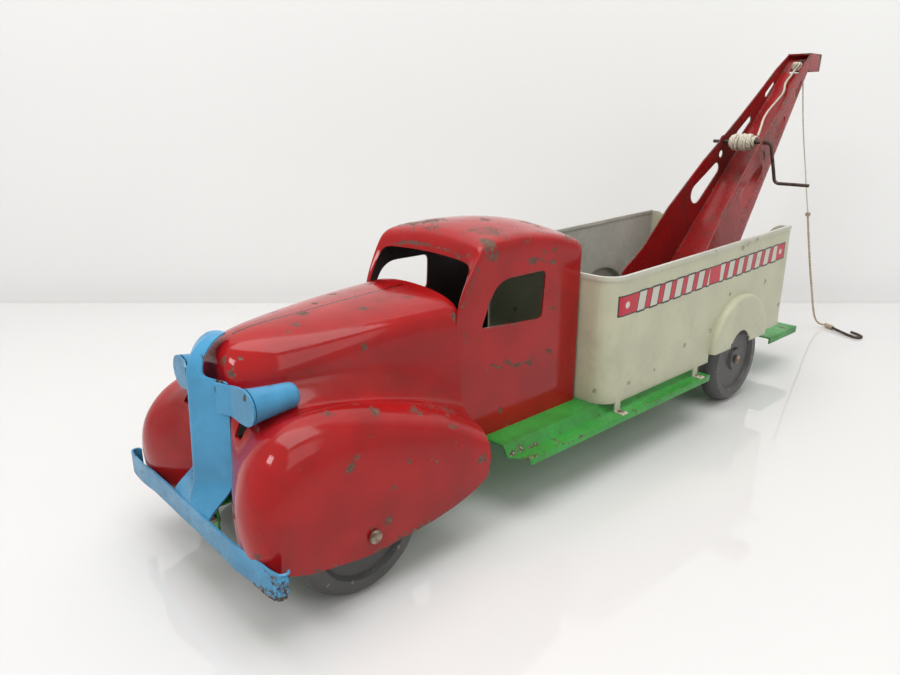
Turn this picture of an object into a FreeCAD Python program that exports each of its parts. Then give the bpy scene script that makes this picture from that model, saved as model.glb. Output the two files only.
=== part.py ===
"""Pressed-steel toy tow truck, in millimetres.

x runs across the truck (+x is the truck's left), y runs rearwards and z up from the floor.
Every length along the truck is measured from the front axle; the finished pieces are
shifted so that y = 0 lies midway between the bumper and the tip of the boom.
"""
import FreeCAD, Part
import math
import os

V = FreeCAD.Vector

# Sheet and hardware
SHEET = 0.8                 # body, bed and grille stampings
DECK_SHEET = 0.9            # chassis
BOOM_SHEET = 0.9
AXLE_R = 2.0
AXLE_CLEARANCE = 0.08       # radial, in the wheels and the sheet-metal holes
RIVET_R = 1.5
RIVET_HEAD_R = 2.6
RIVET_HEAD = 0.9            # height of a formed head
UPSET_SHARE = 0.85            # of the head's radius, on the far side
UPSET_HEIGHT_SHARE = 0.6
RIVET_CLEARANCE = 0.05
PINCH_WIDTH = 1.4           # the flattened ears that keep a rod in place
END_PLAY = 0.4

# Wheels
WHEEL_R = 28.0
WHEEL_WIDTH = 12.0
WHEEL_X = 46.0              # centre plane of a wheel
WHEELBASE = 288.0
HUB_R = 6.5
RECESS = 2.0                # depth of the dished side
RIM_R = 19.0

# Chassis
DECK_TOP = 34.0
BED_HALF = 52.0                 # outside of the bed's sides, which the running boards carry
SPINE_HALF = 20.0           # deck under the hood
CAB_DECK_HALF = 32.0
DECK_HALF = 46.0            # raised part between the running boards
REAR_DECK_HALF = 38.0       # deck between the rear wheels
BOARD_HALF = BED_HALF + 5.0
BOARD_TOP = 29.3
BOARD_STEP = 3.0
BOARD_LIP = 3.5
BOARD_FRONT_Y = 80.7
BOARD_REAR_Y = WHEELBASE - 42.5
BOARD_CORNER = 9.0
STEP_TOP = 27.5
STEP_HALF = 46.0
STEP_FRONT_Y = WHEELBASE + 60.0
STEP_REAR_Y = STEP_FRONT_Y + 43.0
STEP_RAMP = 5.0
STEP_LIP = 3.5
BRACKET_HALF_LENGTH = 24.0
BRACKET_FOOT_HALF = 6.0
BRACKET_BOTTOM = 19.0
SPINE_FRONT_Y = -31.0
FRONT_FLANGE_Y = -38.0
FRONT_FLANGE_BOTTOM = 23.0
FRONT_FLANGE_HALF = 9.0

# Cab, hood and fenders
CAB_HALF = 33.0
CAB_FRONT_Y = 64.0
CAB_REAR_Y = 148.5
ROOF = [(60.0, 104.0, 112.0), (78.0, 107.0, 122.5), (95.0, 108.0, 130.5), (112.0, 108.5, 131.0),
        (130.0, 108.5, 128.0), (CAB_REAR_Y, 108.0, 122.5)]      # y, eaves height, crown height
SCREEN_FOOT = (64.0, 98.0)
SCREEN_HEAD = (75.6, 117.5)
SCREEN_HALF = 29.5
SCREEN_SILL_LIFT = 0.8
SIDE_WINDOW = [(121.3, 106.9), (119.4, 83.7), (78.7, 86.6), (88.1, 106.7)]
WINDOW_CORNER = 4.0
HOOD = [(-27.0, 11.0, 82.0, 99.0), (-20.0, 17.0, 81.5, 99.4), (-6.0, 23.0, 81.5, 100.2),
        (20.0, 27.0, 80.5, 101.8), (CAB_FRONT_Y + 2.0, 31.0, 78.0, 104.5)]  # y, half width, eaves, crown
HOOD_SLIT = 0.6
HOOD_SLIT_FRONT_Y = -21.4
APRON_TOP = [(-39.0, 46.0, 52.0), (-33.5, 62.0, 66.0), (-14.0, 73.0, 74.0), (-4.0, 80.5, 75.0),
             (20.0, 79.5, 69.0), (43.0, 78.0, 60.0), (CAB_FRONT_Y, 76.0, 50.0)]  # y, inboard, outboard height
APRON_IN_X = 15.0
APRON_OUT_X = 46.0
FENDER_IN_X = 37.0
FENDER_OUT_X = 57.0
FENDER_OUT_ROUND = 9.0
FENDER_IN_ROUND = 6.0
FENDER_CUT_LOW = 5.0
SHOULDER_STEPS = 4
FENDER_CROWN = [(-36.0, 27.5), (-44.0, 43.0), (-46.5, 60.0), (-42.5, 74.0), (-33.0, 81.0), (-20.0, 82.5),
                (-8.0, 81.2), (9.0, 77.4), (23.0, 72.4), (43.5, 63.4), (56.0, 54.8), (61.5, 46.0),
                (61.8, 36.0), (58.0, 28.4)]
SKIRT_REAR_MID = (35.0, 22.3)
SKIRT_AXLE_REAR = (6.0, 21.5)
SKIRT_AXLE = (0.0, 20.0)
SKIRT_FRONT_MID = (-20.0, 22.6)
CAB_TAB = (9.0, 8.0)                                    # length, width
CAB_TAB_Y = [104.0, 138.0]

# Grille and bumper
BUMPER_HALF = 64.6
BUMPER_FRONT_Y = -45.2
BUMPER_LOW = 21.8
BUMPER_HIGH = 31.4
BUMPER_CURL_R = 1.9
GRILLE = [(-44.6, 23.5, 4.0, 21.0, 5.9), (-43.4, 31.0, 4.0, 17.0, 6.4), (-42.0, 42.0, 3.0, 12.0, 8.4),
          (-40.2, 86.0, 8.0, 12.0, 7.8), (-36.3, 95.5, 35.0, 10.4, 5.0), (-29.6, 101.2, 68.0, 8.4, 3.6),
          (-22.4, 102.4, 86.0, 7.0, 2.8)]     # crease y, z, lean in degrees, half width, drop of the sides
LAMP_X = 30.0
LAMP_Z = 82.2
LAMP_R = 5.2
LAMP_FRONT_Y = -31.6
LAMP_REAR_Y = -13.5
LAMP_PLATE_Z = 79.4
LAMP_PLATE_R = 7.4
LAMP_PLATE_X = 27.4
BUMPER_RIVET_X = 5.0
BUMPER_RIVET_Y = -43.2           # where the head sits on the grille
BUMPER_RIVET_Z = 27.5

# Truck bed
BED_FRONT_Y = 149.2
BED_REAR_Y = WHEELBASE + 54.0
BED_LOW = 34.6
BED_REAR_LOW = 40.0
BED_STEP_Y = WHEELBASE - 37.0
BED_TOP_FRONT = 101.0
BED_TOP_REAR = 106.8
BED_CORNER = 11.0
BED_LIP = 14.0
BED_LIP_ROUND = 9.0
RIM_PROUD = 0.5
RIM_HEIGHT = 2.4
ARCH_Y = WHEELBASE - 4.5
ARCH_HALF = 33.5
ARCH_TOP = 71.5
ARCH_PROUD = 4.0
ARCH_ROUND = 2.6
NOTCH_HALF = 12.0
NOTCH_Y = WHEELBASE - 6.0
NOTCH_TOP = 49.0
BED_TAB_Y = [BED_FRONT_Y + 10.8, BOARD_REAR_Y - 8.5]
BED_TAB_HALF = 4.5
BED_TAB_RIVET_X = (BED_HALF + BOARD_HALF - DECK_SHEET) / 2
BED_TAB_HEAD_R = 1.95
BED_FOOT = (13.0, 9.0)                                  # half width and depth of the front wall's feet
BED_FOOT_X = 21.0

# Boom, measured along its web from the deck
BOOM_FOOT_Y = WHEELBASE + 1.4
BOOM_ANGLE = 49.3
BOOM_FOOT_HALF = 25.9
BOOM_TAPER = 0.0733
BOOM_WEB_LENGTH = 236.0
NOSE_TOP = 217.5
NOSE_LOW = 205.2
NOSE_END_Y = BOOM_FOOT_Y + 172.6
NOSE_END_LEAN = 3.0             # how far the end plate leans back at its foot
NOSE_BEND_Y = BOOM_FOOT_Y + 152.1
NOSE_LAP = 3.0                  # the end plate's top runs this far back over the web
NOSE_MITRE = 1.2
NOSE_TUCK = 0.2
TAB_SETBACK = 18.0
BOOM_REACH = 60.0               # how far cutting shapes run past the boom
FAR = 240.0
FLANGE_HEEL = 8.0               # how far a flange runs past the web's foot
FLANGE_EDGE = [(40.0, 37.0), (75.0, 35.6), (121.0, 28.4), (144.4, 23.0), (170.5, 17.6), (196.0, 13.0),
               (219.0, 9.4)]
FLANGE_TOE = [(-43.4, 30.0), (-42.4, 34.0), (-25.4, 62.0), (-20.4, 75.0)]   # measured from the boom's foot
SLOTS = [((101.6, 15.8, 7.0), (127.1, 11.2, 4.2)), ((160.3, 8.4, 3.2), (175.6, 6.2, 2.2)),
         ((200.9, 4.0, 2.0), (211.4, 3.3, 1.4))]        # along, height and radius of each slot's two ends
ROUND_HOLE = (137.4, 14.8, 2.6)
LINE_SLOT = (223.0, 234.5, 3.6)                         # start, end and half width
BOOM_TAB_Y = (BOOM_FOOT_Y - 36.4, BOOM_FOOT_Y - 12.4)
BOOM_TAB = 11.0
BOOM_TOE_LENGTH = 13.0
BOOM_TOE_HALF = 18.0
EAR_R = 4.4

# Crank
CRANK_R = 1.15
CRANK_CLEARANCE = 0.08
CRANK_Y = BOOM_FOOT_Y + 79.1
CRANK_Z = 156.5
CRANK_END_X = 3.9 - BOOM_FOOT_HALF
CRANK_ARM_X = BOOM_FOOT_HALF - 6.1
CRANK_LEAN_X = 1.8
CRANK_DROP = 27.5
CRANK_SET_BACK = 9.5
CRANK_GRIP_X = CRANK_ARM_X + 25.2
CRANK_BEND = 3.2

# Line and hook
WINDING_R = 5.4
WINDING_X = (-10.5, 9.5)
BOOM_LINE_R = 0.8
BOOM_LINE = [(8.0, 372.8, 160.8), (5.8, 380.6, 166.2), (2.2, 389.8, 171.4), (0.3, 400.4, 177.4),
             (0.2, 411.6, 183.6), (1.9, 419.2, 190.4), (-1.4, 425.2, 196.6), (0.4, 430.6, 202.2),
             (0.9, 434.4, 206.2)]
TIP_KNOT = (1.0, 436.4, 208.6)
TIP_KNOT_R = 3.9
HANGING_LINE_R = 0.5
HANGING_LINE = [(1.8, 438.4, 208.0), (3.0, 441.6, 205.4), (3.6, 443.6, 200.2), (4.1, 445.0, 192.0),
                (4.6, 447.4, 182.0), (5.4, 450.5, 168.0), (7.0, 454.5, 151.0), (8.4, 459.6, 134.0),
                (10.2, 463.2, 116.4), (12.1, 467.6, 99.4)]
LINE_KNOT = (12.2, 467.8, 98.0)
LINE_KNOT_R = 2.1
HOOK_LINE_R = 0.85
HOOK_LINE = [(12.3, 468.0, 96.6), (14.0, 470.2, 82.0), (16.4, 471.9, 66.0), (18.2, 475.2, 50.0),
             (20.6, 478.2, 34.0), (21.9, 482.4, 19.5), (23.0, 487.2, 9.4), (24.6, 493.4, 4.0),
             (26.2, 500.0, 2.2)]
HOOK_R = 1.05
HOOK = [(26.6, 501.6, 2.1), (38.0, 495.2, 1.7), (50.6, 487.4, 1.2), (58.6, 484.4, 1.1),
        (60.6, 491.0, 1.1), (54.6, 495.6, 1.3), (49.4, 496.8, 1.6)]
WRAP_R = 1.95
WRAP = (0.6, 9.6)                                       # start and end along the shank


# ---------------------------------------------------------------- shape helpers

def box(x0, x1, y0, y1, z0, z1):
    """A block between two corners."""
    return Part.makeBox(x1 - x0, y1 - y0, z1 - z0, V(x0, y0, z0))


def both_sides(shape):
    """The shape and its mirror image across the centre plane."""
    return [shape, shape.mirror(V(0, 0, 0), V(1, 0, 0))]


def fused(shapes):
    """All the shapes joined into one, without the seams between flat faces."""
    shapes = list(shapes)
    return shapes[0].multiFuse(shapes[1:]).removeSplitter()


def side_prism(points, x0, x1):
    """A polygon in the side view (y, z) extruded across the truck."""
    corners = [V(x0, y, z) for y, z in points]
    return Part.Face(Part.makePolygon(corners + corners[:1])).extrude(V(x1 - x0, 0, 0))


def plan_prism(points, z0, z1):
    """A polygon in the plan view (x, y) extruded upwards."""
    corners = [V(x, y, z0) for x, y in points]
    return Part.Face(Part.makePolygon(corners + corners[:1])).extrude(V(0, 0, z1 - z0))


def smooth_edge(points):
    """A smooth curve through the points."""
    curve = Part.BSplineCurve()
    curve.interpolate(points)
    return curve.toShape()


def cylinder_x(radius, x0, x1, y, z):
    """A rod across the truck."""
    return Part.makeCylinder(radius, x1 - x0, V(x0, y, z), V(1, 0, 0))


def rivet(base, direction, grip, head_r=RIVET_HEAD_R):
    """A rivet through sheets of total thickness grip, with its domed head at the base."""
    direction = V(direction).normalize()
    shank = Part.makeCylinder(RIVET_R, grip, base, direction)
    dome_r = (head_r ** 2 + RIVET_HEAD ** 2) / (2 * RIVET_HEAD)
    dome = Part.makeSphere(dome_r, base + direction * (dome_r - RIVET_HEAD))
    slab = Part.makeCylinder(head_r, RIVET_HEAD, base - direction * RIVET_HEAD, direction)
    upset = Part.makeCylinder(head_r * UPSET_SHARE, RIVET_HEAD * UPSET_HEIGHT_SHARE,
                              base + direction * grip, direction)
    return shank.fuse([dome.common(slab), upset])


def rivet_hole(base, direction, grip):
    """The clearance hole for a rivet."""
    direction = V(direction).normalize()
    return Part.makeCylinder(RIVET_R + RIVET_CLEARANCE, grip + 4, base - direction * 2, direction)


def round_corners(points, radii):
    """A wire of straight runs joined by tangent arcs at the inner points."""
    edges = []
    start = points[0]
    for before, corner, after, radius in zip(points, points[1:], points[2:], radii):
        into = (corner - before).normalize()
        out = (after - corner).normalize()
        turn = into.getAngle(out)
        reach = radius * math.tan(turn / 2)
        first = corner - into * reach
        last = corner + out * reach
        inward = (out - into).normalize()
        middle = corner + inward * (radius / math.cos(turn / 2) - radius)
        edges.append(Part.LineSegment(start, first).toShape())
        edges.append(Part.Arc(first, middle, last).toShape())
        start = last
    edges.append(Part.LineSegment(start, points[-1]).toShape())
    return Part.Wire(edges)


def tube_along(wire, radius):
    """A round bar swept along a wire."""
    start = wire.Edges[0]
    heading = start.tangentAt(start.FirstParameter)
    section = Part.Wire(Part.makeCircle(radius, start.valueAt(start.FirstParameter), heading))
    return wire.makePipeShell([section], True, False)


def cord(name, points, radius):
    """A limp cord: each corner's arc is as large as its two runs allow."""
    points = [V(*point) for point in points]
    radii = []
    for before, corner, after in zip(points, points[1:], points[2:]):
        turn = (corner - before).getAngle(after - corner)
        run = min(before.distanceToPoint(corner), corner.distanceToPoint(after))
        radii.append(0.45 * run / math.tan(turn / 2))
    wire = round_corners(points, radii)
    solid = tube_along(wire, radius)
    expected = math.pi * radius ** 2 * wire.Length
    print(f"{name}: length {wire.Length:.1f}, volume {solid.Volume / expected:.3f} of section x length,"
          f" radii {' '.join(f'{r:.0f}' for r in radii)}")
    return solid


# ---------------------------------------------------------------- cab, hood and fenders

def arched_section(y, half, low, eaves, crown):
    """A closed cross-section: upright sides under a half-elliptical top."""
    left, top, right = V(half, y, eaves), V(0, y, crown), V(-half, y, eaves)
    centre = V(0, y, eaves)
    if half >= crown - eaves:
        arc = Part.ArcOfEllipse(Part.Ellipse(left, top, centre), 0, math.pi)
    else:
        arc = Part.ArcOfEllipse(Part.Ellipse(top, right, centre), -math.pi / 2, math.pi / 2)
    corners = [right, V(-half, y, low), V(half, y, low), left]
    return Part.Wire([arc.toShape()] + [Part.makeLine(a, b) for a, b in zip(corners, corners[1:])])


def cab_block(inset):
    """The cab without the sheet's thickness: a domed box with a raked windscreen."""
    low = DECK_TOP - 20 * (inset > 0)
    stations = [(y, eaves, crown) for y, eaves, crown in ROOF]
    if inset:
        stations.append((CAB_REAR_Y + 10, *ROOF[-1][1:]))
    sections = [arched_section(y, CAB_HALF - inset, low, eaves, crown - inset)
                for y, eaves, crown in stations]
    block = Part.makeLoft(sections, True, False)
    foot_y, foot_z = SCREEN_FOOT
    head_y, head_z = SCREEN_HEAD
    rake = (head_y - foot_y) / (head_z - foot_z)
    top = head_z + 30
    ahead = [(foot_y + inset, low - 1), (foot_y + inset, foot_z),
             (foot_y + inset + rake * (top - foot_z), top), (0, top), (0, low - 1)]
    return block.cut(side_prism(ahead, -CAB_HALF - 5, CAB_HALF + 5))


def hood_block(inset):
    """The hood narrows to a rounded nose."""
    low = DECK_TOP - 20 * (inset > 0)
    sections = []
    for index, (y, half, eaves, crown) in enumerate(HOOD):
        y += inset * (index == 0)
        sections.append(arched_section(y, half - inset, low, eaves, crown - inset))
    return Part.makeLoft(sections, True, False)


def apron_block(inset):
    """The slope between the hood's side and the fender."""
    low = DECK_TOP - 20 * (inset > 0)
    sections = []
    for index, (y, inner, outer) in enumerate(APRON_TOP):
        y += inset * ((index == 0) - (index == len(APRON_TOP) - 1))
        corners = [V(APRON_IN_X, y, low), V(APRON_IN_X, y, inner - inset),
                   V(APRON_OUT_X, y, outer - inset), V(APRON_OUT_X, y, low)]
        sections.append(Part.makePolygon(corners + corners[:1]))
    return Part.makeLoft(sections, True, True)


def inset_outline(points, inset):
    """The points moved inwards, square to the line through their neighbours."""
    moved = []
    for index, (y, z) in enumerate(points):
        y0, z0 = points[max(index - 1, 0)]
        y1, z1 = points[min(index + 1, len(points) - 1)]
        length = math.hypot(y1 - y0, z1 - z0)
        moved.append((y + inset * (z1 - z0) / length, z - inset * (y1 - y0) / length))
    return moved


def fender_section(x, inset):
    """One slice of a fender, square to the axle and open below the skirt."""
    outline = inset_outline(FENDER_CROWN, inset)
    crown = smooth_edge([V(x, y, z) for y, z in outline])
    (y0, z0), (y1, z1) = outline[0], outline[-1]
    under = [V(x, y1, z1), V(x, y1, FENDER_CUT_LOW), V(x, y0, FENDER_CUT_LOW), V(x, y0, z0)]
    return Part.Wire([crown] + [Part.makeLine(a, b) for a, b in zip(under, under[1:])])


def fender_block(inset):
    """A teardrop fender with a deep skirt, rounded over its outer and inner shoulders."""
    steps = [math.radians(90 * step / SHOULDER_STEPS) for step in range(SHOULDER_STEPS + 1)]
    inner, outer = FENDER_IN_ROUND - inset, FENDER_OUT_ROUND - inset
    stations = [(FENDER_IN_X + FENDER_IN_ROUND - inner * math.cos(a), inner * (1 - math.sin(a)))
                for a in steps]
    stations += [(FENDER_OUT_X - FENDER_OUT_ROUND + outer * math.sin(a), outer * (1 - math.cos(a)))
                 for a in steps]
    block = Part.makeLoft([fender_section(x, inset + drop) for x, drop in stations], True, False)
    if inset:
        return block
    (y0, z0), (y1, z1) = FENDER_CROWN[0], FENDER_CROWN[-1]
    x = FENDER_IN_X - 1
    rear, axle_rear, axle, front = V(x, y1, z1), V(x, *SKIRT_AXLE_REAR), V(x, *SKIRT_AXLE), V(x, y0, z0)
    hem = [Part.Arc(rear, V(x, *SKIRT_REAR_MID), axle_rear).toShape(), Part.makeLine(axle_rear, axle),
           Part.Arc(axle, V(x, *SKIRT_FRONT_MID), front).toShape()]
    below = [front, V(x, y0 - 30, z0), V(x, y0 - 30, 0), V(x, y1 + 30, 0), V(x, y1 + 30, z1), rear]
    rest = [Part.makeLine(a, b) for a, b in zip(below, below[1:])]
    return block.cut(Part.Face(Part.Wire(hem + rest)).extrude(V(FENDER_OUT_X - x + 1, 0, 0)))


def body_block(inset):
    """Everything inside the outer skin, or inside the inner one."""
    sides = both_sides(apron_block(inset)) + both_sides(fender_block(inset))
    return cab_block(inset).multiFuse([hood_block(inset)] + sides)


def window_cutter():
    """Both side windows in one bar across the cab."""
    bar = side_prism(SIDE_WINDOW, -CAB_HALF - 5, CAB_HALF + 5)
    corners = [edge for edge in bar.Edges if abs(edge.Vertexes[0].X - edge.Vertexes[-1].X) > CAB_HALF]
    return bar.makeFillet(WINDOW_CORNER, corners)


def screen_cutter():
    """The open windscreen, whose sill follows the hood."""
    foot_y, foot_z = SCREEN_FOOT
    head_y, head_z = SCREEN_HEAD
    points = [(foot_y - 8, foot_z + 1), (foot_y + 4, foot_z + 1), (head_y + 4, head_z - 1),
              (head_y - 8, head_z - 1)]
    bar = side_prism(points, -SCREEN_HALF, SCREEN_HALF)
    sill = hood_block(0).translated(V(0, 0, SCREEN_SILL_LIFT))
    longer_sill = sill.fuse(sill.translated(V(0, 4, 0)))
    return bar.cut(longer_sill)


def cab_tab_points():
    """Where the cab's tabs are riveted to the deck."""
    x = CAB_HALF - CAB_TAB[1] * 0.6
    return [V(side * x, y, DECK_TOP + SHEET) for side in (1, -1) for y in CAB_TAB_Y]


def cab_body():
    """Cab, hood, apron and fenders pressed as one sheet."""
    body = body_block(0).cut(body_block(SHEET))
    body = body.cut([window_cutter(), screen_cutter()])
    body = body.cut(box(-HOOD_SLIT / 2, HOOD_SLIT / 2, HOOD_SLIT_FRONT_Y, CAB_FRONT_Y - 1, 90, 110))
    body = body.cut(cylinder_x(AXLE_R + AXLE_CLEARANCE, -BOARD_HALF - 5, BOARD_HALF + 5, 0, WHEEL_R))
    tabs = []
    for y in CAB_TAB_Y:
        tab = box(CAB_HALF - CAB_TAB[1] - SHEET, CAB_HALF - SHEET / 2, y - CAB_TAB[0] / 2, y + CAB_TAB[0] / 2,
                  DECK_TOP, DECK_TOP + SHEET)
        tabs += both_sides(tab)
    body = body.fuse(tabs)
    for point in cab_tab_points():
        body = body.cut(rivet_hole(point, V(0, 0, -1), SHEET + DECK_SHEET))
    return body.removeSplitter()


# ---------------------------------------------------------------- grille and bumper

def grille_section(crease_y, crease_z, lean, half, drop):
    """One V-shaped slice of the grille, square to its face."""
    lean = math.radians(lean)
    inward = V(0, math.cos(lean), -math.sin(lean))
    crease = V(0, crease_y, crease_z)
    outer = [crease + V(-half, 0, 0) + inward * drop, crease, crease + V(half, 0, 0) + inward * drop]
    inner = [point + inward * SHEET for point in reversed(outer)]
    return Part.makePolygon(outer + inner + outer[:1])


def bumper_rivet_points():
    """Where the bumper is riveted to the chassis."""
    return [V(side * BUMPER_RIVET_X, BUMPER_RIVET_Y, BUMPER_RIVET_Z) for side in (1, -1)]


def lamp(side):
    """A headlamp rolled from the end of the grille's arm, with its round plate."""
    x = side * LAMP_X
    tube = Part.makeCylinder(LAMP_R, LAMP_REAR_Y - LAMP_FRONT_Y, V(x, LAMP_FRONT_Y, LAMP_Z), V(0, 1, 0))
    bore = Part.makeCylinder(LAMP_R - SHEET, LAMP_REAR_Y - LAMP_FRONT_Y, V(x, LAMP_FRONT_Y, LAMP_Z),
                             V(0, 1, 0))
    gap_x = sorted((x - side * LAMP_R, x))
    gap = box(*gap_x, LAMP_FRONT_Y + SHEET, LAMP_REAR_Y, LAMP_Z - LAMP_R, LAMP_Z - 1)
    plate = Part.makeCylinder(LAMP_PLATE_R, SHEET, V(side * LAMP_PLATE_X, LAMP_FRONT_Y - SHEET, LAMP_PLATE_Z),
                              V(0, 1, 0))
    arm_x = sorted((side * 10.5, side * LAMP_PLATE_X))
    arm = box(*arm_x, LAMP_FRONT_Y - SHEET, LAMP_FRONT_Y, LAMP_PLATE_Z - 5.5, LAMP_PLATE_Z + 6.5)
    return tube.cut([bore, gap]).fuse([plate, arm])


def grille_bumper():
    """Grille, headlamps and bumper pressed as one sheet."""
    grille = Part.makeLoft([grille_section(*station) for station in GRILLE], True, True)
    band = box(-BUMPER_HALF, BUMPER_HALF, BUMPER_FRONT_Y, BUMPER_FRONT_Y + SHEET, BUMPER_LOW, BUMPER_HIGH)
    height = BUMPER_HIGH - BUMPER_LOW
    curl_at = V(BUMPER_HALF, BUMPER_FRONT_Y + BUMPER_CURL_R, BUMPER_LOW)
    curl = Part.makeCylinder(BUMPER_CURL_R, height, curl_at).cut(
        Part.makeCylinder(BUMPER_CURL_R - SHEET, height, curl_at))
    curl = curl.cut(box(BUMPER_HALF - 5, BUMPER_HALF, curl_at.y, curl_at.y + 5, BUMPER_LOW, BUMPER_HIGH))
    piece = fused([grille, band, lamp(1), lamp(-1)] + both_sides(curl))
    for point in bumper_rivet_points():
        piece = piece.cut(rivet_hole(point, V(0, 1, 0), SHEET))
    return piece


# ---------------------------------------------------------------- chassis

def board_profile():
    """Half of the deck's cross-section, from the centre out to the folded lip."""
    t = DECK_SHEET
    half = DECK_HALF
    foot = half + BOARD_STEP
    low = BOARD_TOP - BOARD_LIP
    return [(0, DECK_TOP), (half, DECK_TOP), (foot, BOARD_TOP), (BOARD_HALF, BOARD_TOP), (BOARD_HALF, low),
            (BOARD_HALF - t, low), (BOARD_HALF - t, BOARD_TOP - t), (foot - t / 2, BOARD_TOP - t),
            (half - t / 2, DECK_TOP - t), (0, DECK_TOP - t)]


def running_board():
    """One side's deck and running board, with its front corner cut off."""
    corners = [V(x, BOARD_FRONT_Y, z) for x, z in board_profile()]
    board = Part.Face(Part.makePolygon(corners + corners[:1])).extrude(V(0, BOARD_REAR_Y - BOARD_FRONT_Y, 0))
    corner = [(BOARD_HALF - BOARD_CORNER, BOARD_FRONT_Y), (BOARD_HALF + 1, BOARD_FRONT_Y),
              (BOARD_HALF + 1, BOARD_FRONT_Y + BOARD_CORNER)]
    return board.cut(plan_prism(corner, BOARD_TOP - BOARD_LIP - 1, DECK_TOP + 1))


def rear_step():
    """The deck behind the running boards and the lower step plate, with lips on three sides."""
    t = DECK_SHEET
    ramp_y = STEP_FRONT_Y - STEP_RAMP
    deck = box(-REAR_DECK_HALF, REAR_DECK_HALF, BOARD_REAR_Y, ramp_y, DECK_TOP - t, DECK_TOP)
    ramp = side_prism([(ramp_y, DECK_TOP), (STEP_FRONT_Y, STEP_TOP), (STEP_FRONT_Y, STEP_TOP - t),
                       (ramp_y, DECK_TOP - t)], -REAR_DECK_HALF, REAR_DECK_HALF)
    plate = box(-STEP_HALF, STEP_HALF, STEP_FRONT_Y, STEP_REAR_Y, STEP_TOP - t, STEP_TOP)
    low = STEP_TOP - t - STEP_LIP
    lip = box(STEP_HALF - t, STEP_HALF, STEP_FRONT_Y, STEP_REAR_Y, low, STEP_TOP - t)
    end = box(-STEP_HALF, STEP_HALF, STEP_REAR_Y - t, STEP_REAR_Y, low, STEP_TOP - t)
    return [deck, ramp, plate, end] + both_sides(lip)


def axle_bracket():
    """The deck's flange folded down beside a rear wheel, with the axle's hole."""
    x = REAR_DECK_HALF - DECK_SHEET
    y, top = WHEELBASE, DECK_TOP - DECK_SHEET
    points = [(y - BRACKET_HALF_LENGTH, top), (y + BRACKET_HALF_LENGTH, top),
              (y + BRACKET_FOOT_HALF, BRACKET_BOTTOM), (y - BRACKET_FOOT_HALF, BRACKET_BOTTOM)]
    flange = side_prism(points, x, REAR_DECK_HALF)
    return flange.cut(cylinder_x(AXLE_R + AXLE_CLEARANCE, x - 1, REAR_DECK_HALF + 1, y, WHEEL_R))


def chassis():
    """Deck, running boards, rear step and brackets pressed as one sheet."""
    t = DECK_SHEET
    spine = box(-SPINE_HALF, SPINE_HALF, SPINE_FRONT_Y, CAB_FRONT_Y + SHEET, DECK_TOP - t, DECK_TOP)
    flange = box(-FRONT_FLANGE_HALF, FRONT_FLANGE_HALF, FRONT_FLANGE_Y, FRONT_FLANGE_Y + t,
                 FRONT_FLANGE_BOTTOM, DECK_TOP)
    tongue = box(-FRONT_FLANGE_HALF, FRONT_FLANGE_HALF, FRONT_FLANGE_Y, SPINE_FRONT_Y, DECK_TOP - t, DECK_TOP)
    cab_deck = box(-CAB_DECK_HALF, CAB_DECK_HALF, CAB_FRONT_Y + SHEET, BOARD_FRONT_Y, DECK_TOP - t, DECK_TOP)
    pieces = [spine, flange, tongue,
              cab_deck] + both_sides(running_board()) + rear_step() + both_sides(axle_bracket())
    deck = fused(pieces)
    for base, direction in all_rivets():
        deck = deck.cut(rivet_hole(base, direction, 3))
    return deck


# ---------------------------------------------------------------- truck bed

def bed_block(inset):
    """The bed's outer or inner box, with rounded front corners."""
    rear = BED_REAR_Y + (10 if inset > 0 else 0)
    low = BED_LOW - (10 if inset > 0 else 0)
    half = BED_HALF - inset
    front = BED_FRONT_Y + inset
    block = box(-half, half, front, rear, low, BED_TOP_REAR + 5)
    corners = [edge for edge in block.Edges if abs(edge.Vertexes[0].Y - front) < 1e-6
               and abs(edge.Vertexes[1].Y - front) < 1e-6
               and abs(edge.Vertexes[0].X - edge.Vertexes[1].X) < 1e-6]
    return block.makeFillet(BED_CORNER - inset, corners)


def bed_side_outline(drop):
    """The bed in side view, with its top edge lowered by drop."""
    return [(BED_FRONT_Y - 2, BED_LOW), (BED_STEP_Y, BED_LOW), (BED_STEP_Y, BED_REAR_LOW),
            (BED_REAR_Y, BED_REAR_LOW), (BED_REAR_Y, BED_TOP_REAR - drop), (BED_FRONT_Y - 2,
                                                                            BED_TOP_FRONT - drop)]


def arch_block(inset):
    """The bulge pressed over a rear wheel, from inside the bed's side outwards."""
    x = BED_HALF - SHEET - (5 if inset else 0)
    reach = BED_HALF + ARCH_PROUD - inset - x
    half, rise = ARCH_HALF - inset, ARCH_TOP - BED_REAR_LOW - inset
    dome = Part.Ellipse(V(x, ARCH_Y - half, BED_REAR_LOW), V(x, ARCH_Y, BED_REAR_LOW + rise), V(x,
                                                                                                ARCH_Y, BED_REAR_LOW))
    arc = Part.ArcOfEllipse(dome, 0, math.pi).toShape()
    low = BED_REAR_LOW - (5 if inset else 0)
    first, last = arc.valueAt(arc.FirstParameter), arc.valueAt(arc.LastParameter)
    corners = [last, V(x, last.y, low), V(x, first.y, low), first]
    sides = [Part.makeLine(a, b) for a, b in zip(corners, corners[1:]) if a.distanceToPoint(b) > 1e-6]
    block = Part.Face(Part.Wire([arc] + sides)).extrude(V(reach, 0, 0))
    outer = [edge for edge in block.Edges if abs(edge.Vertexes[0].X - x - reach) < 1e-6
             and abs(edge.Vertexes[-1].X - x - reach) < 1e-6 and isinstance(edge.Curve, Part.Ellipse)]
    return block.makeFillet(ARCH_ROUND - inset, outer)


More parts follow.
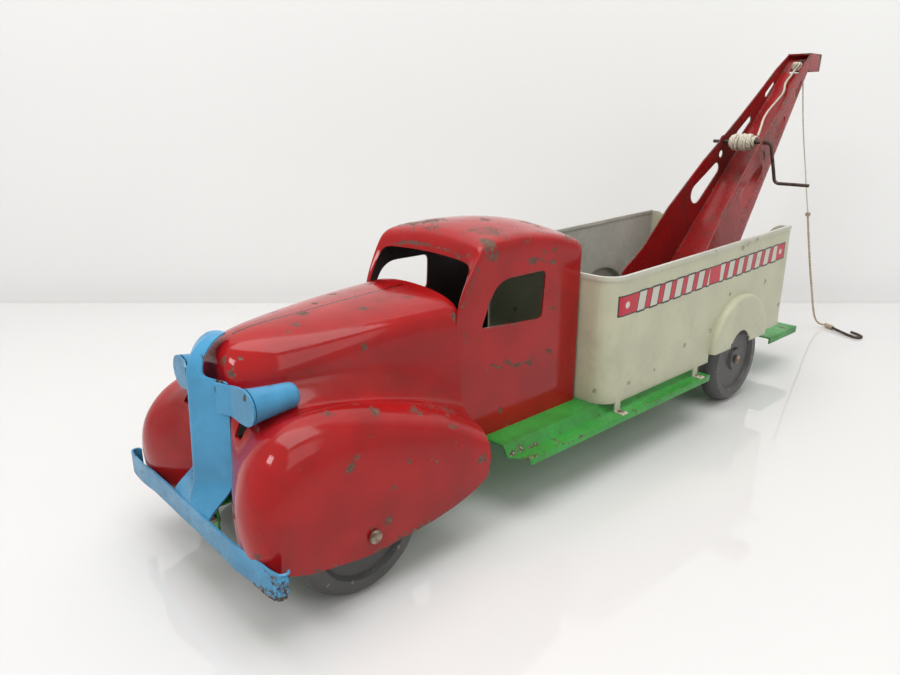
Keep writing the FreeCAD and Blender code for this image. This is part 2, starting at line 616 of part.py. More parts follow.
def notch_cutter():
    """The rounded opening in the bulge's skin, over the wheel's hub."""
    x0, x1 = BED_HALF + 1, BED_HALF + ARCH_PROUD + 1
    slot = box(x0, x1, NOTCH_Y - NOTCH_HALF, NOTCH_Y + NOTCH_HALF, BED_REAR_LOW - 1,
               NOTCH_TOP - NOTCH_HALF / 2)
    crown = cylinder_x(NOTCH_HALF, x0, x1, NOTCH_Y, NOTCH_TOP - NOTCH_HALF)
    return slot.fuse(crown)


def bed_tab_rivets():
    """Where the bed's tabs are riveted to the running boards."""
    return [V(side * BED_TAB_RIVET_X, y, BOARD_TOP + SHEET) for side in (1, -1) for y in BED_TAB_Y]


def bed_foot_rivets():
    """Where the front wall's feet are riveted to the deck."""
    return [V(side * BED_FOOT_X, BED_FRONT_Y + BED_FOOT[1] * 0.6, DECK_TOP + SHEET) for side in (1, -1)]


def bed_tab(y):
    """A tab down from the bed's side and out over the running board."""
    y0, y1 = y - BED_TAB_HALF / 2, y + BED_TAB_HALF / 2
    drop = box(BED_HALF - SHEET, BED_HALF, y0, y1, BOARD_TOP, BED_LOW + 1)
    foot = box(BED_HALF - SHEET, BOARD_HALF, y0, y1, BOARD_TOP, BOARD_TOP + SHEET)
    return drop.fuse(foot)


def rear_lip():
    """The bed's rear edge folded inwards, rounded at the top."""
    lip = box(BED_HALF - BED_LIP, BED_HALF - SHEET / 2, BED_REAR_Y - SHEET, BED_REAR_Y, BED_REAR_LOW,
              BED_TOP_REAR - 0.5)
    corner = [edge
              for edge in lip.Edges if all(abs(v.X - BED_HALF + BED_LIP) < 1e-6 and v.Z > BED_REAR_LOW + 5
                                                for v in edge.Vertexes)]
    return lip.makeFillet(BED_LIP_ROUND, corner)


def truck_bed():
    """An open-backed bed in one sheet: hemmed rim, wheel arches, tabs and folded rear edges."""
    wall = bed_block(0).cut(bed_block(SHEET)).common(side_prism(bed_side_outline(0), -BED_HALF - 9,
                                                                BED_HALF + 9))
    rim = bed_block(-RIM_PROUD).cut(bed_block(SHEET + RIM_PROUD))
    band = side_prism(bed_side_outline(0), -BED_HALF - 9, BED_HALF + 9).cut(
        side_prism(bed_side_outline(RIM_HEIGHT), -BED_HALF - 9, BED_HALF + 9))
    rim = rim.common(band)
    arches = both_sides(arch_block(0))
    tabs = [tab for y in BED_TAB_Y for tab in both_sides(bed_tab(y))]
    foot = box(BED_FOOT_X - BED_FOOT[0] / 2, BED_FOOT_X + BED_FOOT[0] / 2, BED_FRONT_Y,
               BED_FRONT_Y + BED_FOOT[1],
               DECK_TOP, DECK_TOP + SHEET)
    bed = wall.fuse([rim] + arches + both_sides(rear_lip()) + tabs + both_sides(foot))
    bed = bed.cut(both_sides(arch_block(SHEET)) + both_sides(notch_cutter()))
    for base in bed_tab_rivets() + bed_foot_rivets():
        bed = bed.cut(rivet_hole(base, V(0, 0, -1), 2 * SHEET))
    return bed.removeSplitter()


# ---------------------------------------------------------------- boom

def raised(shape):
    """From the boom's own frame (across, along, square to the web) to the truck's."""
    turned = shape.copy()
    turned.rotate(V(0, 0, 0), V(1, 0, 0), BOOM_ANGLE)
    turned.translate(V(0, BOOM_FOOT_Y, DECK_TOP))
    return turned


def boom_point(along, height):
    """Side-view (y, z) of a point given along the web and square to it."""
    angle = math.radians(BOOM_ANGLE)
    return (BOOM_FOOT_Y + along * math.cos(angle) - height * math.sin(angle),
            DECK_TOP + along * math.sin(angle) + height * math.cos(angle))


def boom_half(along):
    """Half of the boom's width at a distance along its web."""
    return BOOM_FOOT_HALF - BOOM_TAPER * along


def flange_slab():
    """The plane of one flange, as thick as the sheet and larger than the flange."""
    x0, x1 = boom_half(-70), boom_half(280)
    corners = [V(x0, -70, -60), V(x1, 280, -60), V(x1 - BOOM_SHEET, 280, -60), V(x0 - BOOM_SHEET, -70, -60)]
    return raised(Part.Face(Part.makePolygon(corners + corners[:1])).extrude(V(0, 0, 140)))


def slot_cutter(first, last):
    """A bar across the boom with two round ends of different size."""
    (a0, h0, r0), (a1, h1, r1) = first, last
    slope = math.atan2(h1 - h0, a1 - a0)
    spread = math.acos((r0 - r1) / math.hypot(a1 - a0, h1 - h0))
    corners = []
    for sign in (1, -1):
        angle = slope + sign * spread
        ends = [(a0 + r0 * math.cos(angle), h0 + r0 * math.sin(angle)),
                (a1 + r1 * math.cos(angle), h1 + r1 * math.sin(angle))]
        corners += ends if sign == 1 else ends[::-1]
    middle = side_prism(corners, -40, 40)
    rounds = [cylinder_x(r, -40, 40, a, h) for a, h, r in (first, last)]
    return raised(middle.fuse(rounds))


def flange_outline():
    """The flange and the cheek of the nose in side view."""
    y_turn, _ = boom_point((NOSE_LOW - DECK_TOP) / math.sin(math.radians(BOOM_ANGLE)), 0)
    toe = [(BOOM_FOOT_Y + y, z) for y, z in FLANGE_TOE]
    edge = [boom_point(*point) for point in FLANGE_EDGE]
    nose = [(NOSE_BEND_Y, NOSE_TOP), (NOSE_END_Y, NOSE_TOP), (NOSE_END_Y - NOSE_END_LEAN, NOSE_LOW),
            (y_turn, NOSE_LOW)]
    heel = boom_point(-FLANGE_HEEL, 0)
    return toe + edge + nose + [heel]


def boom_rivets():
    """Where the boom's tabs and toe are riveted to the deck."""
    toe_y = BOOM_FOOT_Y + BOOM_TOE_LENGTH * 0.6
    tab_x = BOOM_FOOT_HALF - BOOM_TAB * 0.5
    tab_y = sum(BOOM_TAB_Y) / 2
    return [V(side * x, y, DECK_TOP + BOOM_SHEET) for side in (1, -1)
            for x, y in ((BOOM_TOE_HALF * 0.6, toe_y), (tab_x, tab_y))]


def boom():
    """A tapered channel with slotted flanges and a boxed nose, folded from one sheet."""
    t = BOOM_SHEET
    outline = side_prism(flange_outline(), 0, 60)
    ear = raised(cylinder_x(EAR_R, 0, 60, *crank_in_boom()))
    flange = flange_slab().common(outline.fuse(ear))
    heel_half = boom_half(-FLANGE_HEEL)
    web_points = [(-heel_half, -FLANGE_HEEL), (heel_half, -FLANGE_HEEL), (boom_half(BOOM_WEB_LENGTH),
                                                                          BOOM_WEB_LENGTH),
                  (-boom_half(BOOM_WEB_LENGTH), BOOM_WEB_LENGTH)]
    web = raised(plan_prism(web_points, 0, t))
    top_y, _ = boom_point(BOOM_WEB_LENGTH, 0)
    half = boom_half(BOOM_WEB_LENGTH)
    end_foot_y = NOSE_END_Y - NOSE_END_LEAN
    wrapper = side_prism([(top_y - NOSE_LAP, NOSE_TOP), (NOSE_END_Y, NOSE_TOP), (end_foot_y, NOSE_LOW),
                          (end_foot_y - t, NOSE_LOW), (NOSE_END_Y - t * NOSE_MITRE, NOSE_TOP - t),
                          (top_y - NOSE_LAP, NOSE_TOP - t)], -half + NOSE_TUCK, half - NOSE_TUCK)
    low, high = BOOM_WEB_LENGTH - BOOM_REACH, BOOM_WEB_LENGTH + BOOM_REACH
    nose_inside = raised(plan_prism([(-boom_half(high), high), (boom_half(high), high), (boom_half(low), low),
                                     (-boom_half(low), low)], -BOOM_REACH, BOOM_REACH))
    start, end, slot_half = LINE_SLOT
    line_slot = raised(box(-slot_half, slot_half, start, end, -2 * t, 2 * t))
    toe = box(-BOOM_TOE_HALF, BOOM_TOE_HALF, BOOM_FOOT_Y - t, BOOM_FOOT_Y + BOOM_TOE_LENGTH,
              DECK_TOP, DECK_TOP + t)
    tab = box(BOOM_FOOT_HALF - BOOM_TAB, boom_half(-TAB_SETBACK), *BOOM_TAB_Y, DECK_TOP, DECK_TOP + t)
    above_deck = box(-FAR, FAR, BED_FRONT_Y, BOOM_FOOT_Y + FAR, DECK_TOP, NOSE_TOP + FAR)
    pieces = both_sides(flange) + [web.cut(line_slot), wrapper.common(nose_inside), toe] + both_sides(tab)
    channel = pieces[0].fuse(pieces[1:]).common(above_deck)
    cutters = [slot_cutter(*slot) for slot in SLOTS]
    cutters.append(raised(cylinder_x(ROUND_HOLE[2], -40, 40, *ROUND_HOLE[:2])))
    cutters.append(cylinder_x(CRANK_R + CRANK_CLEARANCE, -40, 40, CRANK_Y, CRANK_Z))
    channel = channel.cut(cutters)
    for base in boom_rivets():
        channel = channel.cut(rivet_hole(base, V(0, 0, -1), 3))
    return channel.removeSplitter()


def crank_in_boom():
    """The crank's axis in the boom's own frame, as along and height."""
    angle = math.radians(BOOM_ANGLE)
    dy, dz = CRANK_Y - BOOM_FOOT_Y, CRANK_Z - DECK_TOP
    return dy * math.cos(angle) + dz * math.sin(angle), dz * math.cos(angle) - dy * math.sin(angle)


# ---------------------------------------------------------------- running gear and crank

def wheel(x, y):
    """A solid wheel with a rounded tread, dished sides and a hub."""
    half = WHEEL_WIDTH / 2
    shoulder = WHEEL_R - 3.5
    hub_face = half - 0.5
    dish = half - RECESS
    bore = AXLE_R + AXLE_CLEARANCE
    right = [(bore, hub_face), (HUB_R, hub_face), (HUB_R + 0.8, dish), (RIM_R, dish), (RIM_R + 1.5, half),
             (shoulder, half)]
    left = [(r, -a) for r, a in reversed(right)]
    point = [V(a, r, 0) for r, a in right]
    other = [V(a, r, 0) for r, a in left]
    edges = [Part.makeLine(a, b) for a, b in zip(point, point[1:])]
    edges.append(Part.Arc(point[-1], V(0, WHEEL_R, 0), other[0]).toShape())
    edges += [Part.makeLine(a, b) for a, b in zip(other, other[1:])]
    edges.append(Part.makeLine(other[-1], point[0]))
    solid = Part.Face(Part.Wire(edges)).revolve(V(0, 0, 0), V(1, 0, 0), 360)
    return solid.translated(V(x, y, WHEEL_R))


def pinch(x, y, z, rod_r):
    """Two flattened ears across a rod."""
    return box(x - PINCH_WIDTH / 2, x + PINCH_WIDTH / 2, y - rod_r * 0.55, y + rod_r * 0.55, z - rod_r * 1.5,
               z + rod_r * 1.5)


def axle(y, head_x, outer_pinch):
    """A steel rod with a peened head at each end and ears beside the wheels."""
    rod = cylinder_x(AXLE_R, -head_x, head_x, y, WHEEL_R)
    hub = WHEEL_WIDTH / 2 - 0.5
    places = [WHEEL_X - hub - END_PLAY - PINCH_WIDTH / 2]
    if outer_pinch:
        places.append(WHEEL_X + hub + END_PLAY + PINCH_WIDTH / 2)
    pieces = []
    for x in places:
        pieces += both_sides(pinch(x, y, WHEEL_R, AXLE_R))
    head = Part.makeCylinder(AXLE_R * 1.35, 1.2, V(head_x, y, WHEEL_R), V(1, 0, 0))
    head = head.makeFillet(0.6, [edge
                                 for edge in head.Edges if abs(edge.BoundBox.XMin - head_x - 1.2) < 1e-3])
    return rod.fuse(pieces + both_sides(head)).removeSplitter()


def crank():
    """A bent wire: axle, arm and grip, with ears outside the far flange."""
    corners = [V(CRANK_END_X, CRANK_Y, CRANK_Z), V(CRANK_ARM_X, CRANK_Y, CRANK_Z),
               V(CRANK_ARM_X + CRANK_LEAN_X, CRANK_Y + CRANK_SET_BACK, CRANK_Z - CRANK_DROP),
               V(CRANK_GRIP_X, CRANK_Y + CRANK_SET_BACK, CRANK_Z - CRANK_DROP)]
    wire = tube_along(round_corners(corners, [CRANK_BEND, CRANK_BEND]), CRANK_R)
    along, _ = crank_in_boom()
    ears = pinch(-boom_half(along) - END_PLAY - PINCH_WIDTH / 2, CRANK_Y, CRANK_Z, CRANK_R)
    return wire.fuse(ears).removeSplitter()


# ---------------------------------------------------------------- line and hook

def winding():
    """The line wound on the crank, as one closed roll."""
    x0, x1 = WINDING_X
    roll = cylinder_x(WINDING_R, x0, x1, CRANK_Y, CRANK_Z)
    rims = [edge for edge in roll.Edges if isinstance(edge.Curve, Part.Circle)]
    roll = roll.makeFillet(WINDING_R * 0.45, rims)
    return roll.cut(cylinder_x(CRANK_R, x0 - 1, x1 + 1, CRANK_Y, CRANK_Z))


def knot(centre, radius):
    """A small round knot."""
    return Part.makeSphere(radius, V(*centre))


def hook_wire():
    """The centre line of the hook."""
    points = [V(*point) for point in HOOK]
    radii = []
    for before, corner, after in zip(points, points[1:], points[2:]):
        turn = (corner - before).getAngle(after - corner)
        run = min(before.distanceToPoint(corner), corner.distanceToPoint(after))
        radii.append(0.45 * run / math.tan(turn / 2))
    return round_corners(points, radii)


def hook_wrap():
    """The line's end wrapped round the hook's shank."""
    start, toward = V(*HOOK[0]), (V(*HOOK[1]) - V(*HOOK[0])).normalize()
    length = WRAP[1] - WRAP[0]
    base = start + toward * WRAP[0]
    sleeve = Part.makeCylinder(WRAP_R, length, base, toward)
    return sleeve.cut(Part.makeCylinder(HOOK_R, length, base, toward))


# ---------------------------------------------------------------- fasteners

def all_rivets():
    """Every rivet that reaches the chassis: its base and direction."""
    down = V(0, 0, -1)
    standing = cab_tab_points() + bed_tab_rivets() + bed_foot_rivets() + boom_rivets()
    flange = [V(point.x, FRONT_FLANGE_Y, point.z) for point in bumper_rivet_points()]
    return [(base, down) for base in standing] + [(base, V(0, 1, 0)) for base in flange]


def rivets(points, direction, grip, head_r=RIVET_HEAD_R):
    """A group of equal rivets."""
    return Part.Compound([rivet(point, direction, grip, head_r) for point in points])


# ---------------------------------------------------------------- assembly

def build_nodes():
    """Every piece by name, measured from the front axle."""
    down = V(0, 0, -1)
    nodes = {
        "cab_body": cab_body(),
        "grille_bumper": grille_bumper(),
        "chassis": chassis(),
        "truck_bed": truck_bed(),
        "boom": boom(),
        "front_axle": axle(0, FENDER_OUT_X + 0.6, True),
        "rear_axle": axle(WHEELBASE, WHEEL_X + WHEEL_WIDTH / 2 - 0.5 + END_PLAY, False),
        "crank": crank(),
        "cab_rivets": rivets(cab_tab_points(), down, SHEET + DECK_SHEET),
        "bed_board_rivets": rivets(bed_tab_rivets(), down, SHEET + DECK_SHEET, BED_TAB_HEAD_R),
        "bed_floor_rivets": rivets(bed_foot_rivets(), down, SHEET + DECK_SHEET),
        "boom_rivets": rivets(boom_rivets(), down, BOOM_SHEET + DECK_SHEET),
        "bumper_rivets": rivets(bumper_rivet_points(), V(0, 1, 0),
                                FRONT_FLANGE_Y + DECK_SHEET - BUMPER_RIVET_Y),
        "line_winding": winding(),
        "boom_line": cord("boom_line", BOOM_LINE, BOOM_LINE_R),
        "tip_knot": knot(TIP_KNOT, TIP_KNOT_R),
        "hanging_line": cord("hanging_line", HANGING_LINE, HANGING_LINE_R),
        "line_knot": knot(LINE_KNOT, LINE_KNOT_R),
        "hook_line": cord("hook_line", HOOK_LINE, HOOK_LINE_R),
        "hook": tube_along(hook_wire(), HOOK_R),
        "hook_wrap": hook_wrap(),
    }
    for end, y in (("front", 0), ("rear", WHEELBASE)):
        for side, x in (("left", WHEEL_X), ("right", -WHEEL_X)):
            nodes[f"{end}_{side}_wheel"] = wheel(x, y)
    return nodes


def main():
    """Write each piece to its own file."""
    os.makedirs("parts", exist_ok=True)
    middle = (BUMPER_FRONT_Y + NOSE_END_Y) / 2
    for name, shape in build_nodes().items():
        shape = shape.translated(V(0, -middle, 0))
        if not shape.isValid() or not shape.Solids:
            print(f"{name}: not a valid solid")
        print(f"{name}: {len(shape.Solids)} solid(s), {shape.Volume:.0f} mm3")
        shape.exportStep(f"parts/{name}.step")


main()
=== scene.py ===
"""Looks of a pressed-steel toy tow truck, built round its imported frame."""

import logging
import math
from dataclasses import dataclass, field
from enum import Enum

import bmesh
import bpy
import numpy as np
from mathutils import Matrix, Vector


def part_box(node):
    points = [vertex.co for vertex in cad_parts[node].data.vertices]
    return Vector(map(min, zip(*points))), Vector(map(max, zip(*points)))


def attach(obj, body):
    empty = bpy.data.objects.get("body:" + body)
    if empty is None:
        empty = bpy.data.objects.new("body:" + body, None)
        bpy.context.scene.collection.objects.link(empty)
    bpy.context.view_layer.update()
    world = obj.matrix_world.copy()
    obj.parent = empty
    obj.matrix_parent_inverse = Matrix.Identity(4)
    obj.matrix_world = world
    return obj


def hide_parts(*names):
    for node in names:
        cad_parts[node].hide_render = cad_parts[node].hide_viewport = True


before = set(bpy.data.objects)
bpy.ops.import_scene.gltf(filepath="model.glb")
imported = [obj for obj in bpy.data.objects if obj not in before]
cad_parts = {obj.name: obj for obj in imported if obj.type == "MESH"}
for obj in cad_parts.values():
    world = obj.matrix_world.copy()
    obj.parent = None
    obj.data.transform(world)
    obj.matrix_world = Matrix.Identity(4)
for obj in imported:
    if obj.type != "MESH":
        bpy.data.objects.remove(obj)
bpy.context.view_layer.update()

LOG = logging.getLogger("tow_truck")
MM = 0.001
ROOT = "truck"

Point = tuple[float, float, float]
Colour = tuple[float, float, float]
Socket = bpy.types.NodeSocket
Value = float | Socket


class Slot(Enum):
    """The record's material slots."""

    RED = "red_paint"
    BLUE = "blue_paint"
    GREEN = "green_paint"
    CREAM = "cream_paint"
    RUBBER = "black_wheel"
    STEEL = "steel"
    DARK_STEEL = "dark_steel"
    STRING = "string"


# ---------------------------------------------------------------- places and shapes


def axle_y() -> float:
    """The front axle's place along the truck, in millimetres."""
    low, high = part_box("front_axle")
    return (low.y + high.y) / 2 / MM


def placed(points: np.ndarray) -> np.ndarray:
    """Points measured in millimetres from the front axle, moved into the row frame.

    Args:
        points: An array whose last axis is x, y, z in millimetres.

    Returns:
        The same points in metres: y gains the axle's place, then all is scaled.
    """
    moved = np.array(points, float)
    moved[..., 1] += axle_y()
    return moved * MM


def truck_mm(points: np.ndarray) -> np.ndarray:
    """Row-frame points in metres, turned back into millimetres from the front axle."""
    found = np.array(points, float) / MM
    found[..., 1] -= axle_y()
    return found


def spline_basis(count: int, samples: int, degree: int = 3) -> np.ndarray:
    """Weights of a clamped uniform B-spline.

    The Cox-de Boor recurrence: each order's weight is the knot-distance blend of the two
    weights of the order below it.

    Args:
        count: How many control points there are.
        samples: How many places along the curve are wanted.
        degree: The polynomial degree.

    Returns:
        A (samples, count) array, whose rows add up to one.
    """
    inner = np.linspace(0, 1, count - degree + 1)
    knots = np.concatenate([np.zeros(degree), inner, np.ones(degree)])
    at = np.linspace(0, 1, samples)[:, None]
    weights = ((at >= knots[:-1]) & (at < knots[1:])).astype(float)
    weights[-1, count - 1] = 1.0
    for order in range(1, degree + 1):
        left, right = knots[:-order - 1], knots[order + 1:]
        rise = np.divide(at - left, knots[order:-1] - left, out=np.zeros((samples, len(left))),
                         where=(knots[order:-1] - left) > 0)
        fall = np.divide(right - at, right - knots[1:-order], out=np.zeros((samples, len(left))),
                         where=(right - knots[1:-order]) > 0)
        weights = rise * weights[:, :-1] + fall * weights[:, 1:]
    return weights


def spline_sheet(net: np.ndarray, rows: int, columns: int) -> np.ndarray:
    """A smooth sheet over a net of control points.

    The sheet is the tensor product of two B-splines: point(v, u) is the sum over the net of
    the row weight at v, times the column weight at u, times the control point.

    Args:
        net: Control points, as (rows, columns, 3).
        rows: Samples along the first direction.
        columns: Samples along the second one.

    Returns:
        A (rows, columns, 3) array of points.
    """
    across = spline_basis(net.shape[1], columns)
    along = spline_basis(net.shape[0], rows)
    return np.einsum("ri,ijk,cj->rck", along, net, across)


def grid_faces(rows: int, columns: int, wrap: bool = False) -> np.ndarray:
    """The quads of a rows by columns grid; wrap joins the last column to the first."""
    index = np.arange(rows * columns).reshape(rows, columns)
    nxt = np.roll(index, -1, axis=1) if wrap else index[:, 1:]
    own = index if wrap else index[:, :-1]
    return np.stack([own[:-1], nxt[:-1], nxt[1:], own[1:]], axis=-1).reshape(-1, 4)


def new_object(name: str, points: np.ndarray, faces: list) -> bpy.types.Object:
    """A mesh object at the origin, smooth shaded, from points in metres."""
    mesh = bpy.data.meshes.new(name)
    mesh.from_pydata(np.asarray(points, float).reshape(-1, 3).tolist(), [], [list(f) for f in faces])
    mesh.validate()
    mesh.shade_smooth()
    made = bpy.data.objects.new(name, mesh)
    bpy.context.scene.collection.objects.link(made)
    return made


def vertices_of(made: bpy.types.Object) -> np.ndarray:
    """A mesh object's vertices as an (n, 3) array, in metres."""
    flat = np.empty(len(made.data.vertices) * 3)
    made.data.vertices.foreach_get("co", flat)
    return flat.reshape(-1, 3)


def move_vertices(made: bpy.types.Object, points: np.ndarray) -> None:
    """Puts new places, in metres, into a mesh object's vertices."""
    made.data.vertices.foreach_set("co", np.asarray(points, np.float32).ravel())
    made.data.update()


def set_attribute(made: bpy.types.Object, name: str, values: np.ndarray) -> None:
    """Writes one number per vertex into a mesh attribute that materials read."""
    layer = made.data.attributes.get(name) or made.data.attributes.new(name, "FLOAT", "POINT")
    layer.data.foreach_set("value", np.asarray(values, np.float32))


def bake_modifiers(made: bpy.types.Object) -> None:
    """Replaces an object's mesh with what its modifiers give, and removes them."""
    bpy.context.view_layer.update()
    evaluated = made.evaluated_get(bpy.context.evaluated_depsgraph_get())
    mesh = bpy.data.meshes.new_from_object(evaluated)
    made.modifiers.clear()
    made.data = mesh


def thicken(made: bpy.types.Object, thickness: float, inner_slot: int) -> None:
    """Gives a sheet its wall, inwards from its outer skin, with another finish inside."""
    wall = made.modifiers.new("wall", "SOLIDIFY")
    wall.thickness = thickness * MM
    wall.offset = -1
    wall.use_even_offset = False
    wall.material_offset = inner_slot
    wall.material_offset_rim = 0


def distance_to_lines(points: np.ndarray, starts: np.ndarray, ends: np.ndarray) -> np.ndarray:
    """Each point's distance to the nearest of many straight pieces.

    The foot on a piece is its start plus its direction times the clamped projection share.

    Args:
        points: An (n, 3) array.
        starts: An (m, 3) array of where the pieces begin.
        ends: An (m, 3) array of where they end.

    Returns:
        An (n,) array of distances in the points' own unit.
    """
    run = ends - starts
    length = np.maximum((run ** 2).sum(1), 1e-12)
    found = np.empty(len(points))
    for first in range(0, len(points), 1500):
        part = points[first:first + 1500, None, :]
        share = np.clip(((part - starts) * run).sum(-1) / length, 0, 1)
        foot = starts + share[..., None] * run
        found[first:first + 1500] = np.sqrt(((part - foot) ** 2).sum(-1)).min(1)
    return found


def line_wear(points: np.ndarray, route: list[Point], width: float) -> np.ndarray:
    """How near points are to a scratched route: one on it, falling away as a bell curve."""
    path = np.array(route, float)
    near = distance_to_lines(points, path[:-1], path[1:])
    return np.exp(-((near / width) ** 2))


def spot_wear(points: np.ndarray, spots: list[tuple[float, float, float, float, float]]) -> np.ndarray:
    """The strongest of several worn spots at each point.

    Each spot is a bell curve of the distance from its centre, times its strength.

    Args:
        points: An (n, 3) array in millimetres from the front axle.
        spots: Rows of x, y, z, radius and strength.

    Returns:
        An (n,) array from 0 to about 1.
    """
    rows = np.array(spots, float)
    away = np.sqrt(((points[:, None, :] - rows[None, :, :3]) ** 2).sum(-1))
    return (rows[:, 4] * np.exp(-((away / rows[:, 3]) ** 2))).max(1)


def ripple(points: np.ndarray, size: float, seed: float) -> np.ndarray:
    """A slow wandering value in -1..1: the mean of three sine waves of unlike directions."""
    x, y, z = (points / size).T
    return (np.sin(1.7 * x + 1.1 * y + seed) + np.sin(1.3 * y - 1.9 * z + 2.1 * seed)
            + np.sin(1.1 * z + 0.8 * x + 1.5 * y + 3.7 * seed)) / 3


def tidy_normals(made: bpy.types.Object, merge: float = 1e-6) -> None:
    """Merges doubled vertices and turns every face of a closed piece outwards."""
    work = bmesh.new()
    work.from_mesh(made.data)
    bmesh.ops.remove_doubles(work, verts=work.verts, dist=merge)
    bmesh.ops.recalc_face_normals(work, faces=work.faces)
    work.to_mesh(made.data)
    work.free()
    made.data.shade_smooth()


def pressed_copy(node: str, name: str, soften: float, cell: float,
                 sharp_deg: float = 24.0) -> bpy.types.Object:
    """A copy of a CAD stamping with softened folds and enough vertices to carry wear.

    The copy's doubles are merged and flat areas joined, its sharp edges are rounded, and
    planes a cell apart along each axis split what is left into small faces.

    Args:
        node: The CAD node that is copied and hidden.
        name: The new piece's name.
        soften: Radius of the rounding, in millimetres.
        cell: Distance between the splitting planes, in millimetres.
        sharp_deg: Folds sharper than this are rounded.

    Returns:
        The new object, with an "edge" attribute that is one on its edges.
    """
    work = bmesh.new()
    work.from_mesh(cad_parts[node].data)
    bmesh.ops.remove_doubles(work, verts=work.verts, dist=2e-6)
    bmesh.ops.dissolve_limit(work, angle_limit=math.radians(0.6), verts=work.verts, edges=work.edges)
    limit = math.radians(sharp_deg)
    folds = [edge for edge in work.edges if edge.is_manifold and edge.calc_face_angle(0.0) > limit]
    starts = np.array([edge.verts[0].co[:] for edge in folds]) / MM
    ends = np.array([edge.verts[1].co[:] for edge in folds]) / MM
    bmesh.ops.bevel(work, geom=folds, offset=soften * MM, offset_type="OFFSET", segments=2, profile=0.5,
                    affect="EDGES", clamp_overlap=True)
    corners = np.array([vertex.co[:] for vertex in work.verts])
    for axis in range(3):
        normal = Vector([float(axis == i) for i in range(3)])
        for at in np.arange(corners[:, axis].min() + cell * MM / 2, corners[:, axis].max(), cell * MM):
            everything = work.verts[:] + work.edges[:] + work.faces[:]
            bmesh.ops.bisect_plane(work, geom=everything, dist=1e-7, plane_co=normal * float(at),
                                   plane_no=normal)
    mesh = bpy.data.meshes.new(name)
    work.to_mesh(mesh)
    work.free()
    mesh.shade_smooth()
    mesh.set_sharp_from_angle(angle=math.radians(38))
    made = bpy.data.objects.new(name, mesh)
    bpy.context.scene.collection.objects.link(made)
    near = distance_to_lines(vertices_of(made) / MM, starts, ends)
    set_attribute(made, "edge", np.exp(-((near / 1.1) ** 2)))
    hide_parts(node)
    return made


# ---------------------------------------------------------------- node groups and finishes


class Pad:
    """A node tree being filled in, with short calls for the nodes that finishes use."""

    def __init__(self, tree: bpy.types.NodeTree) -> None:
        """Keeps the tree."""
        self.tree = tree

    def node(self, kind: str, **settings: object) -> bpy.types.Node:
        """A new node with its properties set."""
        made = self.tree.nodes.new(kind)
        for key, value in settings.items():
            setattr(made, key, value)
        return made

    def feed(self, socket: Socket, value: object) -> None:
        """Links a socket to another one, or sets its number or colour."""
        if isinstance(value, bpy.types.NodeSocket):
            self.tree.links.new(value, socket)
        elif value is not None:
            socket.default_value = value

    def maths(self, operation: str, a: Value, b: Value | None = None, clamp: bool = False) -> Socket:
        """The result of one sum on two values."""
        made = self.node("ShaderNodeMath", operation=operation, use_clamp=clamp)
        self.feed(made.inputs[0], a)
        self.feed(made.inputs[1], b)
        return made.outputs[0]

    def step(self, value: Value, low: Value, high: Value, top: Value = 1.0) -> Socket:
        """A smooth rise from 0 at low to top at high."""
        made = self.node("ShaderNodeMapRange", interpolation_type="SMOOTHSTEP")
        for key, given in (("Value", value), ("From Min", low), ("From Max", high), ("To Max", top)):
            self.feed(made.inputs[key], given)
        return made.outputs["Result"]

    def inside(self, value: Value, low: float, high: float, soft: float = 0.25) -> Socket:
        """One between low and high, with soft ends."""
        return self.maths("MULTIPLY", self.step(value, low - soft, low + soft),
                          self.step(value, high + soft, high - soft))

    def noise(self, place: Socket, scale: Value, detail: float = 3.0, rough: float = 0.5) -> Socket:
        """Noise at a place measured in millimetres."""
        made = self.node("ShaderNodeTexNoise")
        for key, given in (("Vector", place), ("Scale", scale), ("Detail", detail), ("Roughness", rough)):
            self.feed(made.inputs[key], given)
        return made.outputs["Fac"]

    def mix(self, share: Value, a: object, b: object) -> Socket:
        """A colour between two colours."""
        made = self.node("ShaderNodeMix", data_type="RGBA")
        self.feed(made.inputs[0], share)
        self.feed(made.inputs[6], a)
        self.feed(made.inputs[7], b)
        return made.outputs[2]

    def blend(self, share: Value, a: Value, b: Value) -> Socket:
        """A number between two numbers."""
        made = self.node("ShaderNodeMix", data_type="FLOAT")
        self.feed(made.inputs[0], share)
        self.feed(made.inputs[2], a)
        self.feed(made.inputs[3], b)
        return made.outputs[0]

    def place_mm(self) -> Socket:
        """The piece's own coordinates in millimetres."""
        coordinate = self.node("ShaderNodeTexCoord")
        made = self.node("ShaderNodeVectorMath", operation="SCALE")
        self.feed(made.inputs[0], coordinate.outputs["Object"])
        made.inputs["Scale"].default_value = 1 / MM
        return made.outputs[0]

    def attribute(self, name: str) -> Socket:
        """A number that the mesh carries."""
        return self.node("ShaderNodeAttribute", attribute_name=name).outputs["Fac"]

    def split(self, vector: Socket) -> tuple[Socket, Socket, Socket]:
        """A vector's three numbers."""
        made = self.node("ShaderNodeSeparateXYZ")
        self.feed(made.inputs[0], vector)
        return made.outputs[0], made.outputs[1], made.outputs[2]

    def group(self, tree: bpy.types.NodeTree, **values: object) -> bpy.types.Node:
        """A shared group, placed with its own values; an underscore in a key stands for a space."""
        made = self.node("ShaderNodeGroup")
        made.node_tree = tree
        for key, value in values.items():
            self.feed(made.inputs[key.replace("_", " ")], value)
        return made


